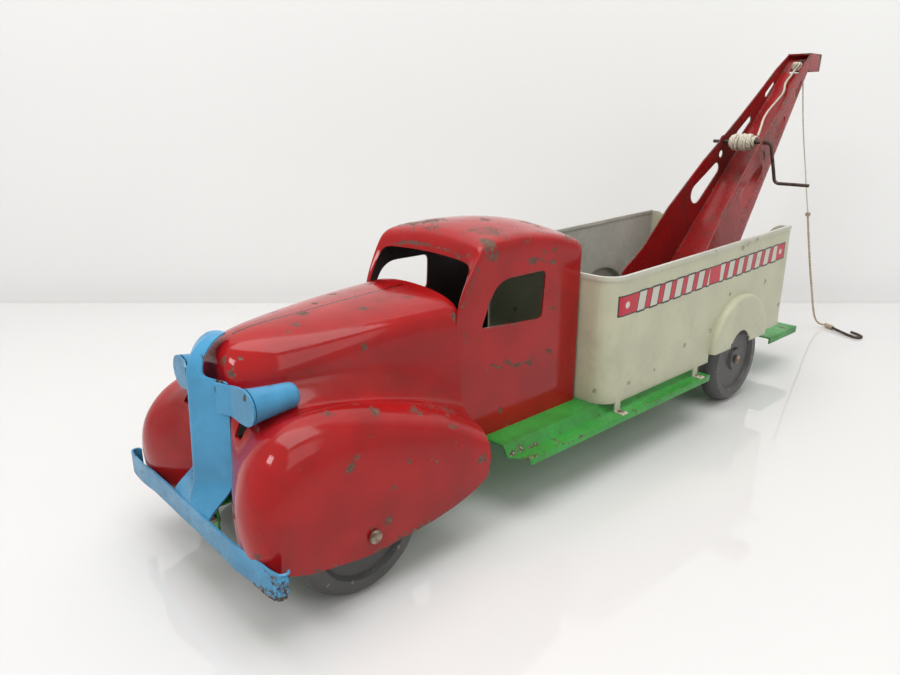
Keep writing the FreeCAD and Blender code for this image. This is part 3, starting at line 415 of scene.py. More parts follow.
def new_group(name: str, inputs: dict[str, str],
              outputs: dict[str, str]) -> tuple[Pad, dict[str, Socket], dict[str, Socket]]:
    """An empty shader node group with named sockets.

    Args:
        name: The group's name.
        inputs: Socket names and types that go in.
        outputs: Socket names and types that come out.

    Returns:
        A pad on the group, its inputs as sockets to read, and its outputs as sockets to feed.
    """
    tree = bpy.data.node_groups.new(name, "ShaderNodeTree")
    for key, kind in inputs.items():
        tree.interface.new_socket(key, in_out="INPUT", socket_type=kind)
    for key, kind in outputs.items():
        tree.interface.new_socket(key, in_out="OUTPUT", socket_type=kind)
    pad = Pad(tree)
    enter, leave = pad.node("NodeGroupInput"), pad.node("NodeGroupOutput")
    return pad, {k: enter.outputs[k] for k in inputs}, {k: leave.inputs[k] for k in outputs}


class SharedEffects:
    """Effects that several finishes use, each built once as a node group."""

    def __init__(self) -> None:
        """Builds the groups."""
        self.chips = self.make_chips()
        self.specks = self.make_specks()
        self.grime = self.make_grime()
        self.draw_marks = self.make_draw_marks()

    def make_chips(self) -> bpy.types.NodeTree:
        """Paint knocked off: ragged patches where edges and worn spots meet coarse and fine noise."""
        number = "NodeSocketFloat"
        pad, given, out = new_group(
            "paint_chips", {"Place": "NodeSocketVector", "Edge": number, "Spot": number, "Amount": number},
            {"Chips": number, "Lip": number, "Bright": number})
        coarse = pad.noise(given["Place"], 0.16, 4.0, 0.6)
        fine = pad.noise(given["Place"], 0.62, 5.0, 0.68)
        ragged = pad.maths("ADD", pad.maths("MULTIPLY", coarse, 0.5), pad.maths("MULTIPLY", fine, 0.5))
        edge = pad.maths("MULTIPLY", given["Edge"], 0.22)
        spot = pad.maths("MULTIPLY", given["Spot"], 0.42)
        worn = pad.maths("ADD", pad.maths("ADD", ragged, edge), spot)
        worn = pad.maths("ADD", worn, pad.maths("MULTIPLY", given["Amount"], 0.1))
        pad.feed(out["Chips"], pad.step(worn, 0.735, 0.765))
        lip = pad.maths("MULTIPLY", pad.step(worn, 0.70, 0.735), pad.step(worn, 0.80, 0.75))
        pad.feed(out["Lip"], lip)
        pad.feed(out["Bright"], pad.step(pad.noise(given["Place"], 0.9, 2.0), 0.5, 0.66))
        return pad.tree

    def make_specks(self) -> bpy.types.NodeTree:
        """Small dots: cells of a lattice of random points, where only some cells carry a dot."""
        number = "NodeSocketFloat"
        pad, given, out = new_group("small_specks",
                                    {"Place": "NodeSocketVector", "Scale": number, "Share": number},
                                    {"Mask": number})
        wobble = pad.node("ShaderNodeTexNoise")
        pad.feed(wobble.inputs["Vector"], given["Place"])
        wobble.inputs["Scale"].default_value = 0.7
        bent = pad.node("ShaderNodeVectorMath", operation="MULTIPLY_ADD")
        pad.feed(bent.inputs[0], wobble.outputs["Color"])
        bent.inputs[1].default_value = (4.0, 4.0, 4.0)
        pad.feed(bent.inputs[2], given["Place"])
        cells = pad.node("ShaderNodeTexVoronoi", feature="F1")
        pad.feed(cells.inputs["Vector"], bent.outputs[0])
        pad.feed(cells.inputs["Scale"], given["Scale"])
        red, green, _ = pad.split(cells.outputs["Color"])
        size = pad.maths("MULTIPLY_ADD", green, 0.16)
        size.node.inputs[2].default_value = 0.05
        dot = pad.step(cells.outputs["Distance"], pad.maths("ADD", size, 0.05), size)
        pad.feed(out["Mask"], pad.maths("MULTIPLY", dot, pad.maths("LESS_THAN", red, given["Share"])))
        return pad.tree

    def make_grime(self) -> bpy.types.NodeTree:
        """Thin dirt: two scales of soft noise, raised where the piece's Gathers value is high; on the cab that
        value also holds painted shade along the hood-apron crease.
        """
        number = "NodeSocketFloat"
        pad, given, out = new_group("thin_grime", {"Place": "NodeSocketVector", "Gathers": number},
                                    {"Mask": number})
        broad = pad.noise(given["Place"], 0.035, 3.0, 0.6)
        close = pad.noise(given["Place"], 0.3, 4.0, 0.6)
        both = pad.maths("ADD", pad.maths("MULTIPLY", broad, 0.6), pad.maths("MULTIPLY", close, 0.4))
        raised = pad.maths("ADD", both, pad.maths("MULTIPLY", given["Gathers"], 0.35))
        pad.feed(out["Mask"], pad.step(raised, 0.46, 0.78))
        return pad.tree

    def make_draw_marks(self) -> bpy.types.NodeTree:
        """Grain of drawn wire and rolled sheet: noise squeezed along one direction."""
        number = "NodeSocketFloat"
        pad, given, out = new_group("draw_marks",
                                    {"Place": "NodeSocketVector", "Stretch": "NodeSocketVector"},
                                    {"Height": number, "Tone": number})
        made = pad.node("ShaderNodeVectorMath", operation="MULTIPLY")
        pad.feed(made.inputs[0], given["Place"])
        pad.feed(made.inputs[1], given["Stretch"])
        pad.feed(out["Height"], pad.noise(made.outputs[0], 2.2, 3.0))
        pad.feed(out["Tone"], pad.noise(given["Place"], 0.28, 4.0, 0.62))
        return pad.tree


class Finish:
    """The start of every finish: a material with one Principled shader."""

    def start(self, name: str) -> tuple[bpy.types.Material, Pad, bpy.types.Node]:
        """Makes the material.

        Args:
            name: The material's name.

        Returns:
            The material, a pad on its tree, and its shader node.
        """
        material = bpy.data.materials.new(name)
        material.use_nodes = True
        pad = Pad(material.node_tree)
        shader = next(n for n in material.node_tree.nodes if n.type == "BSDF_PRINCIPLED")
        return material, pad, shader

    def bump(self, pad: Pad, shader: bpy.types.Node, height: Socket, depth: float) -> None:
        """Feeds a height, whose full range is depth millimetres, to the shader's normal."""
        made = pad.node("ShaderNodeBump")
        made.inputs["Distance"].default_value = depth * MM
        made.inputs["Strength"].default_value = 1.0
        pad.feed(made.inputs["Height"], height)
        pad.feed(shader.inputs["Normal"], made.outputs["Normal"])


def rgba(colour: Colour, lighter: float = 1.0) -> tuple[float, float, float, float]:
    """A colour with full alpha, scaled in brightness."""
    return (colour[0] * lighter, colour[1] * lighter, colour[2] * lighter, 1.0)


@dataclass(frozen=True)
class Enamel(Finish):
    """Old gloss enamel on steel, chipped to primer and rust.

    Attributes name the paint and what shows where it is knocked off.
    """

    name: str
    paint: Colour
    chip: Colour = (0.085, 0.045, 0.03)
    bare: Colour = (0.42, 0.36, 0.30)
    amount: float = 0.0
    dirt: Colour = (0.05, 0.03, 0.02)
    dirt_share: float = 0.35
    gloss: float = 0.2
    speck_share: float = 0.07
    slit: bool = False
    edge_share: float = 1.0

    def build(self, effects: SharedEffects) -> bpy.types.Material:
        """Makes the material.

        Args:
            effects: The shared node groups.

        Returns:
            The enamel.
        """
        material, pad, shader = self.start(self.name)
        place = pad.place_mm()
        edge = pad.maths("MULTIPLY", pad.attribute("edge"), self.edge_share)
        chips = pad.group(effects.chips, Place=place, Edge=edge, Spot=pad.attribute("spot"),
                          Amount=self.amount)
        specks = pad.group(effects.specks, Place=place, Scale=0.14, Share=self.speck_share)
        grime = pad.group(effects.grime, Place=place, Gathers=pad.attribute("grime"))
        tone = pad.step(pad.noise(place, 0.05, 3.0), 0.3, 0.7)
        paint = pad.mix(tone, rgba(self.paint, 0.86), rgba(self.paint, 1.12))
        # Dirt by the grime mask; on the cab the mask also holds painted shade along the hood-apron crease.
        paint = pad.mix(pad.maths("MULTIPLY", grime.outputs["Mask"], self.dirt_share), paint, rgba(self.dirt))
        knocked = pad.maths("MAXIMUM", chips.outputs["Chips"], specks.outputs["Mask"])
        under = pad.mix(chips.outputs["Bright"], rgba(self.chip), rgba(self.bare))
        paint = pad.mix(pad.maths("MULTIPLY", chips.outputs["Lip"], 0.45), paint, rgba(self.chip))
        colour = pad.mix(knocked, paint, under)
        if self.slit:
            # The hood's slit is painted near-black: painted shade for the dark inside of the open seam, which the
            # sheet does not cut.
            slit_shade = self.hood_slit_shade(pad, place)
            colour = pad.mix(slit_shade, colour, rgba((0.012, 0.005, 0.004)))
        pad.feed(shader.inputs["Base Color"], colour)
        smear = pad.step(pad.noise(place, 0.11, 4.0, 0.6), 0.35, 0.75)
        rough = pad.maths("ADD", pad.blend(smear, self.gloss, self.gloss + 0.1),
                          pad.maths("MULTIPLY", grime.outputs["Mask"], 0.14))
        pad.feed(shader.inputs["Roughness"], pad.blend(knocked, rough, 0.62))
        pad.feed(shader.inputs["Metallic"], pad.maths("MULTIPLY", knocked,
                                                      pad.maths("MULTIPLY", chips.outputs["Bright"], 0.3)))
        shader.inputs["Specular IOR Level"].default_value = 0.34
        peel = pad.maths("MULTIPLY", pad.noise(place, 0.3, 2.0), 0.3)
        height = pad.maths("SUBTRACT", peel, knocked)
        self.bump(pad, shader, height, 0.06)
        return material

    def hood_slit_shade(self, pad: Pad, place: Socket) -> Socket:
        """The open seam down the hood's middle, drawn as a near-black mask of painted shade: one inside it."""
        across, along, up = pad.split(place)
        from_axle = pad.maths("SUBTRACT", along, axle_y())
        on_top = pad.maths("MULTIPLY", pad.inside(from_axle, -21.4, 62.0), pad.step(up, 90.0, 92.0))
        return pad.maths("MULTIPLY", pad.inside(across, -0.5, 0.5, 0.14), on_top)


@dataclass(frozen=True)
class ShadedInside(Finish):
    """The back of a red-painted sheet, painted near-black maroon as painted shade: the inside of the hollow body
    and the fenders' undersides.
    """

    name: str
    colour: Colour
    light: Colour

    def build(self, effects: SharedEffects) -> bpy.types.Material:
        """Makes the material from the shared groups."""
        material, pad, shader = self.start(self.name)
        place = pad.place_mm()
        marks = pad.group(effects.draw_marks, Place=place, Stretch=(0.3, 1.0, 0.3))
        grime = pad.group(effects.grime, Place=place, Gathers=0.3)
        tone = pad.step(marks.outputs["Tone"], 0.35, 0.7)
        colour = pad.mix(tone, rgba(self.colour), rgba(self.light))
        pad.feed(shader.inputs["Base Color"], pad.mix(grime.outputs["Mask"], colour, rgba(self.colour, 0.5)))
        pad.feed(shader.inputs["Roughness"], pad.blend(tone, 0.45, 0.7))
        self.bump(pad, shader, marks.outputs["Height"], 0.03)
        return material


@dataclass(frozen=True)
class PrintedBed(Finish):
    """Varnished print on the bed's outside, and its bare grey inside.

    The print is a red band with a dark outline, a dot near each end and plain pale blocks.
    """

    name: str
    cream: Colour = (0.50, 0.50, 0.36)
    grey: Colour = (0.46, 0.46, 0.42)
    band: Colour = (0.50, 0.022, 0.045)
    ink: Colour = (0.02, 0.018, 0.016)
    rim: Colour = (0.52, 0.51, 0.47)

    def build(self, effects: SharedEffects) -> bpy.types.Material:
        """Makes the material.

        Args:
            effects: The shared node groups.

        Returns:
            The printed sheet.
        """
        material, pad, shader = self.start(self.name)
        place = pad.place_mm()
        edge = pad.maths("MULTIPLY", pad.attribute("edge"), 0.35)
        chips = pad.group(effects.chips, Place=place, Edge=edge, Spot=pad.attribute("spot"), Amount=-0.35)
        specks = pad.group(effects.specks, Place=place, Scale=0.11, Share=0.16)
        grime = pad.group(effects.grime, Place=place, Gathers=pad.attribute("grime"))
        marks = pad.group(effects.draw_marks, Place=place, Stretch=(0.2, 1.0, 0.2))
        tone = pad.step(pad.noise(place, 0.04, 3.0), 0.3, 0.7)
        outside = pad.mix(tone, rgba(self.cream, 0.93), rgba(self.cream, 1.06))
        along, drop = pad.attribute("along"), pad.attribute("drop")
        outside = self.printed(pad, outside, along, drop)
        inside = pad.mix(pad.step(marks.outputs["Tone"], 0.35, 0.65), rgba(self.grey, 0.95),
                         rgba(self.grey, 1.05))
        colour = pad.mix(pad.step(pad.attribute("inner"), 0.45, 0.55), outside, inside)
        colour = pad.mix(pad.maths("MULTIPLY", pad.attribute("rim"),
                                   pad.step(pad.noise(place, 0.5, 4.0), 0.3, 0.6)), colour,
                         rgba(self.rim))
        colour = pad.mix(pad.maths("MULTIPLY", grime.outputs["Mask"], 0.22), colour, rgba((0.16, 0.13, 0.09)))
        worn = pad.maths("MAXIMUM", chips.outputs["Chips"],
                         pad.maths("MULTIPLY", specks.outputs["Mask"], 0.6))
        under = pad.mix(chips.outputs["Bright"], rgba((0.10, 0.075, 0.055)), rgba((0.3, 0.27, 0.23)))
        pad.feed(shader.inputs["Base Color"], pad.mix(worn, colour, under))
        pad.feed(shader.inputs["Roughness"], pad.blend(worn, pad.blend(tone, 0.3, 0.42), 0.6))
        pad.feed(shader.inputs["Metallic"], pad.maths("MULTIPLY", worn, 0.3))
        self.bump(pad, shader, pad.maths("SUBTRACT", pad.maths("MULTIPLY", marks.outputs["Height"], 0.4),
                                         worn), 0.04)
        return material

    def printed(self, pad: Pad, base: Socket, along: Socket, drop: Socket) -> Socket:
        """The band and its blocks over a base colour, by place along the side and below the rim."""
        length = pad.inside(along, 7.0, 187.0, 0.2)
        band = pad.maths("MULTIPLY", length, pad.inside(drop, 10.6, 20.0, 0.15))
        outline = pad.maths("MULTIPLY", pad.inside(along, 6.2, 187.8, 0.2), pad.inside(drop, 9.9, 20.7, 0.15))
        colour = pad.mix(outline, base, rgba(self.ink))
        colour = pad.mix(band, colour, rgba(self.band))
        slanted = pad.maths("SUBTRACT", along, pad.maths("MULTIPLY", drop, -0.18))
        turn = pad.maths("FRACT", pad.maths("DIVIDE", slanted, 11.4))
        groups = pad.maths("ADD", pad.inside(along, 21.0, 92.0), pad.inside(along, 104.0, 176.0))
        block = pad.maths("MULTIPLY", pad.inside(turn, 0.14, 0.80, 0.012), groups)
        shade = pad.maths("MULTIPLY", block, pad.inside(drop, 9.6, 21.2, 0.12))
        face = pad.maths("MULTIPLY", pad.maths("MULTIPLY", pad.inside(turn, 0.20, 0.74, 0.012), groups),
                         pad.inside(drop, 10.6, 20.2, 0.12))
        colour = pad.mix(shade, colour, rgba(self.ink))
        colour = pad.mix(face, colour, rgba((0.56, 0.55, 0.48)))
        for at in (13.0, 181.5):
            reach = pad.maths("ADD", pad.maths("POWER", pad.maths("SUBTRACT", along, at), 2.0),
                              pad.maths("POWER", pad.maths("SUBTRACT", drop, 15.3), 2.0))
            colour = pad.mix(pad.step(reach, 3.6, 2.6), colour, rgba((0.60, 0.59, 0.52)))
        return colour


@dataclass(frozen=True)
class WornMetal(Finish):
    """Drawn steel that has dulled and rusted in places."""

    name: str
    clean: Colour
    rust: Colour
    rust_from: float = 0.5
    shine: float = 0.38
    metal: float = 0.85
    stretch: Point = (0.2, 1.0, 1.0)

    def build(self, effects: SharedEffects) -> bpy.types.Material:
        """Makes the material from the shared groups."""
        material, pad, shader = self.start(self.name)
        place = pad.place_mm()
        marks = pad.group(effects.draw_marks, Place=place, Stretch=self.stretch)
        grime = pad.group(effects.grime, Place=place, Gathers=0.25)
        rusty = pad.step(marks.outputs["Tone"], self.rust_from - 0.08, self.rust_from + 0.12)
        colour = pad.mix(rusty, rgba(self.clean), rgba(self.rust))
        pad.feed(shader.inputs["Base Color"], pad.mix(pad.maths("MULTIPLY", grime.outputs["Mask"], 0.5),
                                                      colour,
                                                      rgba(self.rust, 0.4)))
        pad.feed(shader.inputs["Metallic"], pad.blend(rusty, self.metal, 0.25))
        pad.feed(shader.inputs["Roughness"], pad.blend(rusty, self.shine, 0.75))
        self.bump(pad, shader, marks.outputs["Height"], 0.05)
        return material


@dataclass(frozen=True)
class WheelRubber(Finish):
    """Old black rubber or blackened steel with dust in its dish and a scuffed tread."""

    name: str
    black: Colour = (0.058, 0.058, 0.058)
    dust: Colour = (0.16, 0.14, 0.12)

    def build(self, effects: SharedEffects) -> bpy.types.Material:
        """Makes the material from the shared groups."""
        material, pad, shader = self.start(self.name)
        place = pad.place_mm()
        grime = pad.group(effects.grime, Place=place, Gathers=0.05)
        specks = pad.group(effects.specks, Place=place, Scale=0.3, Share=0.3)
        scuff = pad.step(pad.noise(place, 0.8, 5.0, 0.7), 0.52, 0.72)
        colour = pad.mix(pad.maths("MULTIPLY", grime.outputs["Mask"], 0.4), rgba(self.black), rgba(self.dust))
        colour = pad.mix(pad.maths("MULTIPLY", scuff, 0.25), colour, rgba(self.dust))
        colour = pad.mix(pad.maths("MULTIPLY", specks.outputs["Mask"], 0.5), colour, rgba((0.3, 0.27, 0.23)))
        pad.feed(shader.inputs["Base Color"], colour)
        pad.feed(shader.inputs["Roughness"], pad.blend(scuff, 0.38, 0.66))
        self.bump(pad, shader, pad.noise(place, 1.1, 4.0, 0.6), 0.08)
        return material


@dataclass(frozen=True)
class Cotton(Finish):
    """Twisted cotton string: fibres that wind round it, with painted shade in its grooves."""

    name: str
    pale: Colour
    tan: Colour

    def build(self, effects: SharedEffects) -> bpy.types.Material:
        """Makes the material from the shared groups and the tube's own groove attribute."""
        material, pad, shader = self.start(self.name)
        place = pad.place_mm()
        groove = pad.attribute("groove")
        fibre = pad.noise(place, 2.6, 4.0, 0.7)
        grime = pad.group(effects.grime, Place=place, Gathers=0.1)
        colour = pad.mix(fibre, rgba(self.tan), rgba(self.pale))
        # Painted shade: the grooves between the strands are darkened towards the tan.
        colour = pad.mix(pad.maths("MULTIPLY", groove, 0.6), colour, rgba(self.tan, 0.45))
        colour = pad.mix(pad.maths("MULTIPLY", grime.outputs["Mask"], 0.35), colour, rgba(self.tan, 0.5))
        pad.feed(shader.inputs["Base Color"], colour)
        pad.feed(shader.inputs["Roughness"], pad.blend(fibre, 0.95, 0.8))
        shader.inputs["Sheen Weight"].default_value = 0.35
        self.bump(pad, shader, pad.maths("SUBTRACT", fibre, groove), 0.12)
        return material


@dataclass(frozen=True)
class Backdrop(Finish):
    """A pale plain surface: the glossy table or the matt wall behind it."""

    name: str
    colour: Colour
    gloss: float

    def build(self) -> bpy.types.Material:
        """Makes the surface, with faint clouding and wiped streaks."""
        material, pad, shader = self.start(self.name)
        coordinate = pad.node("ShaderNodeTexCoord")
        cloudy = pad.noise(coordinate.outputs["Object"], 3.0, 2.0)
        pad.feed(shader.inputs["Base Color"], pad.mix(cloudy, rgba(self.colour, 0.97),
                                                      rgba(self.colour, 1.02)))
        streaks = pad.noise(coordinate.outputs["Object"], 12.0, 3.0)
        pad.feed(shader.inputs["Roughness"], pad.blend(streaks, self.gloss, self.gloss * 1.6))
        return material


class Finishes:
    """Every finish of the truck, built once."""

    def __init__(self) -> None:
        """Builds the groups and then the materials."""
        fx = SharedEffects()
        self.red = Enamel("red_enamel", (0.335, 0.0075, 0.0085), chip=(0.11, 0.05, 0.035),
                          bare=(0.21, 0.135, 0.09), slit=True, gloss=0.055,
                          dirt_share=0.22).build(fx)
        self.boom_red = Enamel("boom_enamel", (0.29, 0.009, 0.010), chip=(0.10, 0.05, 0.035),
                               bare=(0.22, 0.14, 0.1),
                               amount=0.1, dirt_share=0.6, gloss=0.2).build(fx)
        # Near-black maroon for the inner faces of the red sheets: painted shade, a darkened copy of the red paint.
        self.shaded_red_inside = ShadedInside("painted_shade_inside", (0.02, 0.005, 0.006), (0.045, 0.011, 0.012)).build(fx)
        self.blue = Enamel("blue_enamel", (0.062, 0.285, 0.50), chip=(0.05, 0.035, 0.03),
                           bare=(0.30, 0.27, 0.24),
                           amount=-0.2, dirt=(0.03, 0.05, 0.06), gloss=0.22, edge_share=0.75).build(fx)
        self.green = Enamel("green_enamel", (0.038, 0.30, 0.048), dirt=(0.05, 0.06, 0.03), gloss=0.24,
                            edge_share=0.45).build(fx)
        self.bed = PrintedBed("printed_cream").build(fx)
        self.steel = WornMetal("dull_rivet_steel", (0.42, 0.36, 0.28), (0.13, 0.07, 0.035)).build(fx)
        self.wire = WornMetal("dark_wire", (0.11, 0.085, 0.07), (0.055, 0.03, 0.02), shine=0.42,
                              stretch=(1.0, 1.0, 0.3)).build(fx)
        self.rubber = WheelRubber("wheel_black").build(fx)
        self.pale_cotton = Cotton("pale_cotton", (0.78, 0.73, 0.62), (0.52, 0.45, 0.34)).build(fx)
        self.tan_cotton = Cotton("tan_cotton", (0.60, 0.50, 0.36), (0.36, 0.27, 0.17)).build(fx)


def dress(made: bpy.types.Object, slot: Slot, body: str, *materials: bpy.types.Material) -> bpy.types.Object:
    """Gives a piece its materials and its body.

    Args:
        made: The piece.
        slot: The record's slot; not used.
        body: The CAD body that it rides on.
        materials: One material, or the outer and the inner one.

    Returns:
        The same piece.
    """
    made.data.materials.clear()
    for material in materials:
        made.data.materials.append(material)
    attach(made, body)
    LOG.info("%s: %d vertices on %s", made.name, len(made.data.vertices), body)
    return made


# ---------------------------------------------------------------- cab, hood and fenders


@dataclass
class CabAndFenders:
    """The cab with its hood, aprons and fenders, pressed as one sheet.

    Sizes are millimetres from the front axle: x to the side, y back and z up.
    """

    wall: float = 0.8
    half: float = 33.0
    rear_y: float = 148.5
    slot_x: tuple[float, float] = (20.0, 24.6)
    slot_z: tuple[float, float] = (66.0, 73.6)
    screen_foot: tuple[float, float] = (64.0, 98.0)
    screen_head: tuple[float, float] = (75.6, 117.5)
    window: list[tuple[float, float]] = field(default_factory=lambda: [
        (121.3, 106.9), (119.4, 83.7), (78.7, 86.6), (88.1, 106.7)])
    far_window: list[tuple[float, float]] = field(default_factory=lambda: [
        (105.4, 106.9), (103.4, 89.6), (68.4, 92.6), (76.0, 106.9)])
    window_rounds: tuple[float, float, float, float] = (3.6, 2.8, 2.0, 9.0)
    roof: tuple[tuple[float, float], ...] = ((95.0, 129.6), (112.0, 129.8), (130.0, 127.2), (141.0, 124.4),
                                             (148.5, 122.0))
    far_drop: tuple[float, ...] = (0.0, 0.0, 0.5, 1.0, 2.0, 4.5, 6.0, 5.0, 1.5, 0.0, 0.0)
    front_net: list[list[Point]] = field(default_factory=lambda: [
        [(0, 66, 104.3), (15, 66, 103.4), (27, 66, 101), (32.4, 66, 96.5), (33, 66, 88), (33, 66, 80),
         (33.2, 66, 70),
         (34.5, 65, 60), (38, 63.5, 54), (45, 62.5, 52), (52, 62,
                                                          50), (56.8, 61.5,
                                                                44), (57.3, 61.8, 38), (57, 59.5, 30.5)],
        [(0, 50, 103.4), (14, 50, 102.6), (26, 50, 100.4), (31.2, 50, 96.6), (31.6, 50, 88), (30.8, 50, 80.5),
         (31.5, 50, 72), (34.5, 50, 61), (39.5, 50,
                                          60.5), (45, 50, 60), (52, 50, 57.5), (56.6, 50, 49), (57.3, 50, 38),
         (57, 49.5, 25.4)],
        [(0, 32, 102.6), (13, 32, 101.8), (24, 32, 99.6), (29.2, 32, 95.6), (30, 32, 88), (28.6, 32, 81.2),
         (31, 32, 74), (35, 32, 65.5), (39.5, 32, 68), (45, 32, 67), (52, 32,
                                                                      63.5), (56.4, 32, 55), (57.3, 32, 40),
         (57, 32, 22)],
        [(0, 14, 101.5), (12, 14, 100.6), (21.5, 14, 98.3), (26.5, 14, 94), (28, 14, 87.5), (26.6, 14, 82.4),
         (30, 14, 77), (34.5, 14, 69.5), (39, 14, 73.6), (45, 14,
                                                          72.4), (52, 14,
                                                                  68.6), (56.3, 14, 60), (57.3, 14, 42),
         (57, 14, 21.2)],
        [(0, -3, 100.6), (10, -3, 99.6), (18.5, -3, 97), (23.2, -3, 92), (25.4, -3, 86.5), (24.4, -3, 82.6),
         (28.5, -3, 78.5), (34, -3, 72.5), (39, -3, 76.6), (45, -3, 75.8), (51.8, -3, 72.4), (56.3, -3, 64),
         (57.3, -3, 44), (57, -1, 19.9)],
        [(0, -16, 99.8), (8, -16, 98.6), (14.5, -16, 95.8), (18.6, -16, 91), (21.6, -16.5, 86),
         (21.2, -17, 81.5),
         (26, -17.5, 77.5), (33, -18, 74), (39, -19, 77), (45, -19, 76.4), (51.5, -19, 73), (56.2, -18, 64),
         (57.3, -15, 44), (57, -14, 22.2)],
        [(0, -26, 96.9), (6.3, -26, 96.0), (10.8, -26, 93.6), (13.6, -26.5, 90), (16, -27.5, 85.5),
         (16.5, -28, 80.5),
         (23, -28.5, 73), (32, -30, 71.5), (38.5, -31.5, 73.6), (45, -32,
                                                                 73.5), (51, -31.5, 70), (56, -30, 61),
         (57.2, -26, 44), (57, -24, 23.7)],
        [(0, -30, 93.8), (5, -30, 92.8), (8.4, -30.2, 90.8), (10.6, -30.6, 88), (12.6, -31.2, 83),
         (13, -31.6, 77),
         (21, -33.5, 65), (31, -36.5, 64), (38, -39, 65.5), (45, -39.6,
                                                             65.5), (50.5, -39, 62), (55.5, -36.6, 54),
         (57, -33.3, 42), (57, -31, 25.5)],
        [(0, -31, 87), (5, -31, 86), (8.6, -31.2, 84), (10.6, -31.4, 80), (12, -31.6, 74), (13.4, -31.8, 67),
         (20.5, -36, 55), (30, -41, 54), (37.5, -43.5, 54), (44, -44.5,
                                                             53.5), (50, -43.5, 50), (54.8, -41, 45),
         (56.5, -37.5, 37), (56.5, -34.5, 27)],
        [(0, -31, 62), (5, -31, 62), (8.6, -31.2, 60), (10.6, -31.4, 56), (12, -31.6, 52), (13.6, -32, 47),
         (20.5, -37.5, 42), (30, -42.5, 41), (37.5, -45.5, 41), (44, -46,
                                                                 40), (49.5, -45, 38), (53.8, -42.5, 35),
         (56, -39, 31.5), (56.2, -37, 28)],
        [(0, -31, 36), (5, -31, 36), (8.6, -31.2, 35), (10.6, -31.4, 34), (12, -31.6, 32), (14.5, -32.5, 30),
         (20.5, -37.5, 27.5), (30, -40.5, 26), (37.5, -42.5,
                                                25.5), (44, -43, 25.5), (49.5, -42.6, 25.5), (53, -41, 26),
         (55.5, -39, 26.5), (56, -38, 27)]])

    def mirrored(self, net: list[list[Point]], far_drop: tuple[float, ...] = ()) -> np.ndarray:
        """A net for the whole width from one for its left half, whose first column is the middle.

        Args:
            net: Rows of control points, from the middle outwards.
            far_drop: How much lower each row's fender is on the right side, which was knocked.

        Returns:
            The whole net, right side first.
        """
        left = np.array(net, float)
        right = left[:, :0:-1] * np.array([-1.0, 1.0, 1.0])
        if far_drop:
            share = np.interp(-right[..., 0], [30.0, 38.0], [0.0, 1.0]) * (right[..., 2] > 50)
            right[..., 2] -= np.array(far_drop)[:, None] * share
        return np.concatenate([right, left], axis=1)

    def front_sheet(self) -> bpy.types.Object:
        """Hood, aprons and both fenders, as one smooth sheet over a net of control points."""
        rows, columns = 132, 250
        points = spline_sheet(self.mirrored(self.front_net, self.far_drop), rows, columns)
        made = new_object("hood_and_fenders", placed(points), grid_faces(rows, columns)[:, ::-1])
        self.face_outwards(made, np.array([0.0, 30.0, 60.0]))
        return made

    def face_outwards(self, made: bpy.types.Object, middle: np.ndarray) -> None:
        """Flips an open sheet whose faces point, on the whole, towards its middle."""
        centres = np.empty(len(made.data.polygons) * 3)
        normals = np.empty(len(made.data.polygons) * 3)
        made.data.polygons.foreach_get("center", centres)
        made.data.polygons.foreach_get("normal", normals)
        away = truck_mm(centres.reshape(-1, 3)) - middle
        if (away * normals.reshape(-1, 3)).sum() < 0:
            made.data.flip_normals()

    def screen_plane(self, up: np.ndarray) -> np.ndarray:
        """Where the raked windscreen lies along the truck, at heights above its foot."""
        (foot_y, foot_z), (head_y, head_z) = self.screen_foot, self.screen_head
        return foot_y + np.maximum(up - foot_z, 0) * (head_y - foot_y) / (head_z - foot_z)

    def roof_row(self, y: float, crown: float) -> np.ndarray:
        """One arch of control points: a straight side, a tight shoulder and a shallow crown."""
        side = np.array([34.0, 50.0, 66.0, 82.0, 96.0])
        over = np.array([33.0, 33.3, 33.0, 30.6, 25.0, 17.0, 8.0, 0.0])
        drop = np.array([17.0, 10.6, 6.6, 4.4, 3.4, 1.7, 0.5, 0.0])
        x = np.concatenate([np.full(len(side), self.half), over])
        z = np.concatenate([side, crown - drop])
        return np.stack([x, np.full(len(x), y), z], axis=-1)

    def cab_sheet(self) -> bpy.types.Object:
        """The cab's pillars, header, roof and sides as one smooth arch, open at both ends.

        Its first rows lie on the raked plane of the windscreen, from the opening's edge out
        to the rounded corner, and the others are arches across the cab.
        """
        rim_x = np.array([31.6, 31.6, 31.6, 31.6, 31.4, 30.8, 30.4, 28.6, 23.0, 16.0, 10.0, 5.0, 0.0])
        rim_z = np.array([34.0, 50.0, 66.0, 82.0, 97.0, 106.0, 112.6, 115.2, 116.0, 116.4, 116.7, 116.8,
                          116.9])
        corner_x = np.array([33.0, 33.0, 33.0, 33.0, 33.0, 33.2, 33.6, 33.0, 29.0, 21.5, 14.5, 7.0, 0.0])
        corner_z = np.array([34.0, 50.0, 66.0, 82.0, 96.0, 107.0, 117.0, 121.8, 123.4, 124.2, 125.0, 125.6,
                             125.8])
        rows = []
        for share, ahead in ((0.0, 0.9), (0.4, -0.2), (0.85, -0.6), (1.0, 0.3)):
            x = rim_x + (corner_x - rim_x) * share
            z = rim_z + (corner_z - rim_z) * share
            rows.append(np.stack([x, self.screen_plane(z) + ahead, z], axis=-1))
        back = rows[-1].copy()
        back[:, 1] += 3.4
        back[:, 2] += np.array([0, 0, 0, 0, 0, 0.2, 0.6, 1.0, 1.4, 1.7, 1.9, 2.0, 2.0])
        rows.append(back)
        rows += [self.roof_row(*station) for station in self.roof]
        turned = rows[-1] * np.array([0.96, 1.0, 1.0]) + np.array([0, 0.3, 0])
        turned[6:, 2] -= 1.2
        rows.append(turned)
        net = np.array(rows)
        count = 230
        whole = self.mirrored(net[:, ::-1].tolist())
